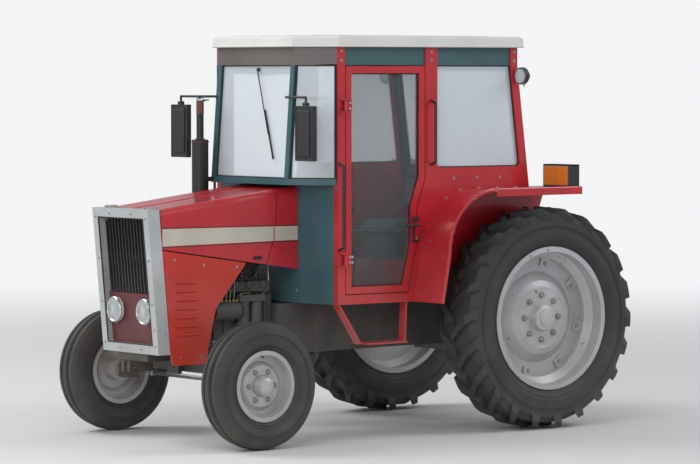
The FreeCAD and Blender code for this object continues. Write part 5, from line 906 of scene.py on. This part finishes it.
def belt_and_hoses():
    """The fan belt round its two pulleys, and the radiator's and heater's hoses with their clips."""
    loop = []
    for z, radius, end in BELT_PULLEYS:
        for i in range(13):
            angle = math.pi * i / 12
            loop.append((1.363, end * radius * math.cos(angle), z + end * radius * math.sin(angle)))
    Piece("fan_belt", "black_plastic", look=RUBBER).pipe(loop, 0.0065, 6, closed=True).done()
    hoses = Piece("radiator_hoses", "black_plastic", look=RUBBER)
    for radius, sides, points in HOSES:
        hoses.pipe(points, radius, sides)
    hoses.done(smooth=50)
    clips = Piece("hose_clips", "steel")
    for at, axis in HOSE_CLIPS:
        clips.ring(at, axis, 0.0245, 0.0022, 24, 6)
    clips.done()


def exhaust_details():
    """Clamps, heat-browned pipe and a rain flap on the stack."""
    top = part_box("exhaust")[1].z
    x, y = EXHAUST
    clamps = Piece("exhaust_clamps", "steel", look=RUST)
    for z, radius in ((1.485, 0.057), (1.50, 0.057), (1.905, 0.057), (1.925, 0.029), (1.46, 0.030)):
        clamps.ring((x, y, z), Z, radius, 0.004, 36, 6)
    clamps.turned((x, y, top - 0.09), Z, [(0.0255, 0), (0.0255, 0.085)], 24)
    clamps.done()
    flap = Piece("rain_flap", "steel")
    flap.turned((x - 0.006, y, top + 0.012), Vector((0.3, 0, 1)), [(0.031, 0), (0.031, 0.004)], 24)
    flap.pipe([(x - 0.032, y - 0.02, top - 0.004), (x - 0.032, y + 0.02, top - 0.004)], 0.004)
    flap.box((x - 0.048, y, top + 0.002), (0.04, 0.016, 0.01))
    flap.done()


# Inside the cab
def seat_cushions():
    """Stuffed seat and back with piping and sewn channels, in place of the CAD seat, on a pan."""
    lean = Matrix.Rotation(math.radians(SEAT_LEAN), 3, "Y")
    level = Matrix.Identity(3)
    upright = lean @ Matrix.Rotation(math.radians(90), 3, "Y")
    pads = (
        ("seat_cushion", SEAT_MIDDLE, (0.40, 0.44, 0.085), level, (-0.075, 0.055)),
        ("seat_back", BACK_MIDDLE, (0.37, 0.43, 0.075), upright, (-0.06, 0.06)),
    )
    for name, middle, size, turn, channels in pads:
        pad = stuffed_pad(name, size, channels)
        pad.matrix_world = Matrix.Translation(middle) @ turn.to_4x4()
        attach(pad, "chassis")
        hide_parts("seat")
        piping(pad, size)
    pan = Piece("seat_pan", "black_plastic")
    pan.box((-0.405, 0, 1.2685), (0.34, 0.37, 0.012))
    pan.box(Vector(BACK_MIDDLE) - lean @ X * 0.046, (0.014, 0.36, 0.31), lean)
    for side in BOTH:
        pan.box((-0.645, side * 0.12, 1.33), (0.012, 0.05, 0.15), lean)
        pan.box((-0.605, side * 0.12, 1.266), (0.08, 0.05, 0.010))
    pan.done(bevel=0.005)


def stuffed_pad(name, size, channels):
    """A pad with raised sides, filled out by a cloth simulation and then sewn down along its channels."""
    pad = slab(name, size)
    inflate(pad, -size[2] / 2)
    rounded = pad.modifiers.new("rounded", "SUBSURF")
    rounded.levels = rounded.render_levels = 1
    bake(pad)
    half_width = size[1] / 2
    for point in pad.data.vertices:
        side = abs(point.co.y) / half_width
        if point.normal.z < 0.3 or side > BOLSTER_START + 0.1:
            continue
        for x in channels:
            away = (point.co.x - x) / CHANNEL_WIDTH
            point.co.z -= CHANNEL_DEPTH * math.exp(-away * away)
    for face in pad.data.polygons:
        face.use_smooth = True
    pad.data.materials.append(LOOKS["seat_cover"])
    return pad


def slab(name, size):
    """A closed pad with rounded edges, its sides raised into bolsters."""
    long, wide, thick = size
    rows, columns = 22, 24
    form = bmesh.new()
    grids = []
    for face in (1, -1):
        grid = []
        for i in range(rows + 1):
            line = []
            for j in range(columns + 1):
                u, v = i / rows * 2 - 1, j / columns * 2 - 1
                puff = math.sqrt(max(0.0, (1 - u ** 6) * (1 - v ** 6)))
                raised = min(1, max(0, (abs(v) - BOLSTER_START) / 0.25)) if face > 0 else 0
                z = face * thick / 2 * (0.35 + 0.65 * puff) + BOLSTER_RISE * raised * puff
                pulled = 1 - PAD_WAIST * (1 - u * u)
                x = u * long / 2 * math.sqrt(1 - PAD_CORNER * v * v)
                y = v * wide / 2 * pulled * math.sqrt(1 - PAD_CORNER * u * u)
                line.append(form.verts.new((x, y, z)))
            grid.append(line)
        grids.append(grid)
    top, base = grids
    for i in range(rows):
        for j in range(columns):
            form.faces.new((top[i][j], top[i + 1][j], top[i + 1][j + 1], top[i][j + 1]))
            form.faces.new((base[i][j], base[i][j + 1], base[i + 1][j + 1], base[i + 1][j]))
    rim = [(i, 0) for i in range(rows)] + [(rows, j) for j in range(columns)]
    rim += [(i, columns) for i in range(rows, 0, -1)] + [(0, j) for j in range(columns, 0, -1)]
    for (i, j), (k, m) in zip(rim, rim[1:] + rim[:1]):
        form.faces.new((top[i][j], base[i][j], base[k][m], top[k][m]))
    bmesh.ops.recalc_face_normals(form, faces=form.faces)
    mesh = bpy.data.meshes.new(name)
    form.to_mesh(mesh)
    form.free()
    return placed(name, mesh)


def bake(thing):
    """Applies the piece's modifiers to its mesh."""
    seen = thing.evaluated_get(bpy.context.evaluated_depsgraph_get())
    mesh = bpy.data.meshes.new_from_object(seen)
    thing.modifiers.clear()
    thing.data = mesh


def inflate(pad, rest):
    """Remeshes the pad and lets air pressure fill it, up to a cap and flat where it rests on the pan."""
    even = pad.modifiers.new("even", "REMESH")
    even.mode = "VOXEL"
    even.voxel_size = PAD_VOXEL
    bake(pad)
    before = [p.co.copy() for p in pad.data.vertices]
    cloth = pad.modifiers.new("cloth", "CLOTH")
    cloth.settings.use_pressure = True
    cloth.settings.uniform_pressure_force = PAD_PRESSURE
    cloth.settings.effector_weights.gravity = 0
    cloth.point_cache.frame_start = 1
    cloth.point_cache.frame_end = PAD_STEPS
    scene = bpy.context.scene
    for step in range(1, PAD_STEPS + 1):
        scene.frame_set(step)
    bake(pad)
    scene.frame_set(1)
    for point, start in zip(pad.data.vertices, before):
        move = point.co - start
        if move.length > PAD_CAP:
            point.co = start + move.normalized() * PAD_CAP
        point.co.z = max(point.co.z, rest)


def piping(pad, size):
    """A welt round the pad where its top panel meets its side, found by casting rays inward."""
    place_of = pad.matrix_world
    half_long, half_wide, level = size[0] / 2, size[1] / 2, size[2] * 0.27
    loop = []
    for i in range(72):
        angle = 2 * math.pi * i / 72
        out = Vector((math.cos(angle), math.sin(angle), 0))
        reach = min(half_long / max(1e-6, abs(out.x)), half_wide / max(1e-6, abs(out.y)))
        hit, at, _, _ = pad.ray_cast(out * (reach + 0.1) + Z * level, -out)
        if hit:
            loop.append(place_of @ at)
    welt = Piece(f"{pad.name}_piping", "seat_cover", look=PIPING)
    welt.pipe(loop, 0.0032, 8, closed=True).done(smooth=60)


def interior_details():
    """Dials, levers, pedals, a ribbed rubber mat and the roof lining."""
    dials = Piece("dials", "black_plastic", look=DIAL)
    marks = Piece("dial_marks", "silver", look=WHITE)
    tilt = Vector((-0.643, 0, 0.766))
    up = Y.cross(tilt)
    for y, radius in ((-0.10, 0.042), (0.0, 0.055), (0.10, 0.042)):
        at = Vector((DASH_FACE[0], y, DASH_FACE[1]))
        dials.turned(at, tilt, [(radius, -0.01), (radius, 0.008), (radius * 0.9, 0.010)], 28)
        for i in range(9):
            angle = math.radians(210 - 30 * i)
            foot = at + (Y * math.cos(angle) + up * math.sin(angle)) * radius * 0.76 + tilt * 0.0105
            marks.turned(foot, tilt, [(0.0022, 0), (0.0022, 0.001)], 6)
    dials.done()
    marks.done()
    levers = Piece("levers", "black_plastic")
    for x, y, floor, top, lean in LEVERS:
        foot, tip = Vector((x, y, floor)), Vector((x + lean, y, top))
        levers.turned(foot, Z, [(0.034, -0.002), (0.034, 0.012), (0.024, 0.034), (0.012, 0.062)], 16)
        levers.pipe([foot, (x + lean * 0.35, y, (floor + top) / 2), tip], 0.0065)
        levers.turned(tip - Z * 0.01, Z, [(0.012, 0), (0.022, 0.012), (0.022, 0.03), (0.01, 0.042)], 16)
    levers.done()
    pedals = Piece("pedals", "dark_paint")
    for y in PEDALS_Y:
        pedals.pipe([(0.345, y, 1.14), (0.29, y, 1.095), (0.262, y, 1.045)], 0.008)
        pedals.box((0.256, y, 1.035), (0.012, 0.072, 0.09), Matrix.Rotation(0.6, 3, "Y"))
    pedals.box((0.30, -0.32, 0.935), (0.13, 0.06, 0.012), Matrix.Rotation(-0.45, 3, "Y"))
    pedals.box((0.335, -0.32, 0.925), (0.02, 0.03, 0.055))
    pedals.done(bevel=0.003)
    mat = Piece("floor_mat", "black_plastic", look=RUBBER)
    low_x, high_x, half, floor = FLOOR_MAT
    middle_x, long = (low_x + high_x) / 2, high_x - low_x
    mat.box((middle_x, 0, floor + 0.0028), (long, half * 2, 0.005))
    for i in range(27):
        mat.box((middle_x, (i - 13) * half / 13.8, floor + 0.0068), (long - 0.03, 0.014, 0.004))
    mat.done(bevel=0.001)
    lining = Piece("roof_lining", "lining")
    roof_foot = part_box("cab_roof")[0].z
    lining.box((-0.14, 0, roof_foot - 0.0125), (1.40, 1.18, 0.022))
    lining.box((-0.14, 0, roof_foot - 0.029), (0.09, 0.16, 0.014))
    lining.done(bevel=0.005)


# Steps, fenders and linkage
def step_treads():
    """Raised bars laid crossways on the steps' treads."""
    grip = Piece("step_grip", "dark_paint")
    (x, y, z), (long, wide) = STEP_TREAD, STEP_SIZE
    rows, columns = int(long / TREAD_PITCH), int(wide / TREAD_PITCH)
    for side in BOTH:
        middle = Vector((x, side * y, z + 0.0012))
        for i in range(rows):
            for j in range(columns):
                off = Vector((i - (rows - 1) / 2, j - (columns - 1) / 2, 0)) * TREAD_PITCH
                turn = Matrix.Rotation(math.pi / 4 if (i + j) % 2 else -math.pi / 4, 3, "Z")
                grip.box(middle + off, (0.018, 0.005, 0.0032), turn)
    grip.done()


def fender_details():
    """A rolled bead along each fender's outer edge, and bolts to the cab."""
    _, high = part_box("fenders")
    bead = Piece("fender_bead", "paint")
    bolts = Piece("fender_bolts", "steel")
    for side in BOTH:
        bead.pipe([p - Y * side * 0.006 for p in fender_edge(side)], 0.0075, 8)
        for x in (-0.86, -0.70, -0.54, -0.38, -0.26):
            at, facing = surface("fenders", (x, side * (CAB_SIDE + 0.03), high.z + 0.1), -Z)
            bolts.bolt(at, facing, 0.009, 0.008)
    bead.done()
    bolts.done()


def surface(node, start, towards):
    """Where a ray meets a CAD node, and which way the node's face looks there."""
    hit, at, facing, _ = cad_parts[node].ray_cast(Vector(start), Vector(towards))
    if not hit:
        raise SystemExit(f"the ray from {start} misses {node}")
    return at, facing


def fender_edge(side):
    """The fender's outer edge: the farthest of its mesh's outer points from the axle, degree by degree."""
    _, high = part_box("fenders")
    _, _, hub = box_of("tyre_rear_left")
    seen = {}
    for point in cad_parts["fenders"].data.vertices:
        p = point.co
        if p.y * side <= high.y - 0.0015:
            continue
        angle = round(math.degrees(math.atan2(p.z - hub.z, p.x - hub.x)))
        far = math.hypot(p.x - hub.x, p.z - hub.z)
        if angle not in seen or far > seen[angle][0]:
            seen[angle] = (far, Vector(p))
    return [seen[a][1] for a in sorted(seen)]


def case_details():
    """The top link's sleeve and cross bar, the gearbox's bolted rear cover and the shaft's shield."""
    trim = Piece("linkage_trim", "steel")
    low, high = (Vector(end) for end in TOP_LINK_ENDS)
    run = high - low
    trim.turned(low + run * 0.25, run, [(0.02, 0), (0.024, 0.01), (0.024, 0.26), (0.02, 0.27)], 20)
    trim.turned(low + run * 0.8, run, [(0.022, 0), (0.022, 0.03)], 6)
    trim.pipe([low + run * 0.5 - Y * 0.05, low + run * 0.5 + Y * 0.05], 0.006)
    face_x = surface("transmission", (-2, 0.1, 0.66), X)[0].x
    for y, z in COVER_BOLTS:
        for side in BOTH:
            trim.bolt((face_x - 0.008, side * y, z), -X, 0.010, 0.009)
    trim.done()
    cover = Piece("case_cover", "cast")
    cover.box((face_x - 0.004, 0, 0.665), (0.008, 0.27, 0.33))
    cover.turned((face_x, 0, PTO_Z), -X, [(0.05, 0), (0.05, 0.016), (0.036, 0.022)], 28)
    cover.done(bevel=0.003)
    shield = Piece("shaft_shield", "dark_paint")
    shield.box((face_x - 0.068, 0, PTO_Z + 0.095), (0.12, 0.18, 0.005))
    for side in BOTH:
        shield.box((face_x - 0.068, side * 0.0875, PTO_Z + 0.055), (0.12, 0.005, 0.08))
    shield.done(bevel=0.001)


def linkage_details():
    """Sleeves on the lift rods, rings round the lower links' ends and clips on the lift arms' pins."""
    sleeves = Piece("lift_rod_sleeves", "steel", "lift_rods")
    rings = Piece("lower_link_trim", "steel", "lower_links")
    clips = Piece("lift_arm_trim", "steel", "lift_arms")
    for side in BOTH:
        low, high = (Vector((x, side * y, z)) for x, y, z in LIFT_ROD_ENDS)
        run = high - low
        sleeves.turned(low + run * 0.3, run, [(0.017, 0), (0.020, 0.006), (0.020, 0.17), (0.017, 0.176)], 20)
        sleeves.turned(low + run * 0.68, run, [(0.020, 0), (0.020, 0.016)], 6)
        x, y, z = LINK_END
        for face_y in (y - LINK_BALL, y + LINK_BALL):
            rings.ring((x, side * face_y, z), Y, 0.0235, 0.004, 32, 6)
        rings.ring(low + Y * side * 0.016, X, 0.014, 0.0018, 24, 6)
        x, y, z = LIFT_ARM_TIP
        clips.ring((x, side * (y - 0.027), z), X, 0.0185, 0.0018, 24, 6)
    sleeves.done()
    rings.done()
    clips.done()


def tow_details():
    """The head of the pin that holds the drawbar's front end."""
    pin = Piece("drawbar_pin_trim", "steel")
    pin.bolt(DRAWBAR_PIN, Z, 0.016, 0.014)
    pin.done()


def layer(holder, share, under, over, out):
    """Sends one shader to the output, and the other where the share is 1."""
    both = add(holder, "ShaderNodeMixShader")
    link(holder, share, both.inputs["Fac"])
    link(holder, under.outputs[0], both.inputs[1])
    link(holder, over.outputs[0], both.inputs[2])
    link(holder, both.outputs[0], holder.node_tree.nodes[out].inputs["Surface"])


def floor_look():
    """A pale floor that fades into the surround, for the camera alone, away from the tractor."""
    m = finish("floor_pale", (0.72, 0.72, 0.71), 0.9, tint=0.01, dust=0)
    away = add(m, "ShaderNodeVectorMath", operation="LENGTH")
    link(m, place(m), away.inputs[0])
    fade = add(m, "ShaderNodeMapRange", interpolation_type="SMOOTHSTEP")
    link(m, away.outputs["Value"], fade.inputs["Value"])
    fade.inputs["From Min"].default_value, fade.inputs["From Max"].default_value = FLOOR_FADE
    shown = times(m, fade.outputs[0], add(m, "ShaderNodeLightPath").outputs["Is Camera Ray"])
    glow = add(m, "ShaderNodeEmission")
    glow.inputs["Color"].default_value = SURROUND
    layer(m, shown, m.node_tree.nodes["Principled BSDF"], glow, "Material Output")
    return m


def studio():
    """Pale floor, a pale surround that only the camera and glass see, and soft lamps."""
    bpy.ops.mesh.primitive_plane_add(size=FLOOR_SIZE, location=(0, 0, -0.001))
    floor = bpy.context.object
    floor.name = "floor"
    floor.data.materials.append(floor_look())
    world = bpy.data.worlds.new("surround")
    bpy.context.scene.world = world
    world.use_nodes = True
    plain, shown = world.node_tree.nodes["Background"], add(world, "ShaderNodeBackground")
    for sheet, colour, strength in ((plain, SKY, SKY_STRENGTH), (shown, SURROUND, 1)):
        sheet.inputs["Color"].default_value = colour
        sheet.inputs["Strength"].default_value = strength
    path = add(world, "ShaderNodeLightPath")
    seen = add(world, "ShaderNodeMath", operation="MAXIMUM")
    link(world, path.outputs["Is Camera Ray"], seen.inputs[0])
    link(world, path.outputs["Is Transmission Ray"], seen.inputs[1])
    layer(world, seen.outputs[0], plain, shown, "World Output")
    for name, where, power, width in LAMPS:
        lamp = bpy.data.lights.new(name, "AREA")
        lamp.energy = power
        lamp.size = width
        thing = placed(name, lamp)
        thing.location = where
        thing.rotation_euler = (Z - Vector(where)).to_track_quat("-Z", "Y").to_euler()


def camera():
    """The photograph's bearing, height and distance, with a lens that fills the frame."""
    bearing, height = math.radians(VIEW_BEARING), math.radians(VIEW_HEIGHT)
    away = Vector((
        math.sin(bearing) * math.cos(height),
        -math.cos(bearing) * math.cos(height),
        math.sin(height),
    ))
    low, high = cad_box
    middle = (low + high) / 2
    lens = bpy.data.cameras.new("view")
    lens.sensor_width = SENSOR
    thing = placed("view", lens)
    bpy.context.scene.camera = thing
    thing.location = middle + away * VIEW_DISTANCE
    thing.rotation_mode = "QUATERNION"
    thing.rotation_quaternion = (-away).to_track_quat("-Z", "Y")
    tall = (high.z - low.z) / VIEW_FILL * FRAME_WIDTH / FRAME_HEIGHT
    lens.lens = SENSOR * VIEW_DISTANCE / tall
    lens.clip_start, lens.clip_end = 0.1, 200


paint_frame()
for side_name, side_sign in SIDES:
    rear_wheel_details(side_name, side_sign)
    front_wheel_details(side_name, side_sign)
    door_details(side_name, side_sign)
headlamps()
nose_details()
bonnet_details()
side_panel_details()
engine_details()
belt_and_hoses()
exhaust_details()
window_seals()
cab_outside()
mirror_details()
rear_lamps()
seat_cushions()
interior_details()
step_treads()
fender_details()
case_details()
linkage_details()
tow_details()
studio()
camera()
bpy.context.scene.view_settings.view_transform = "Standard"
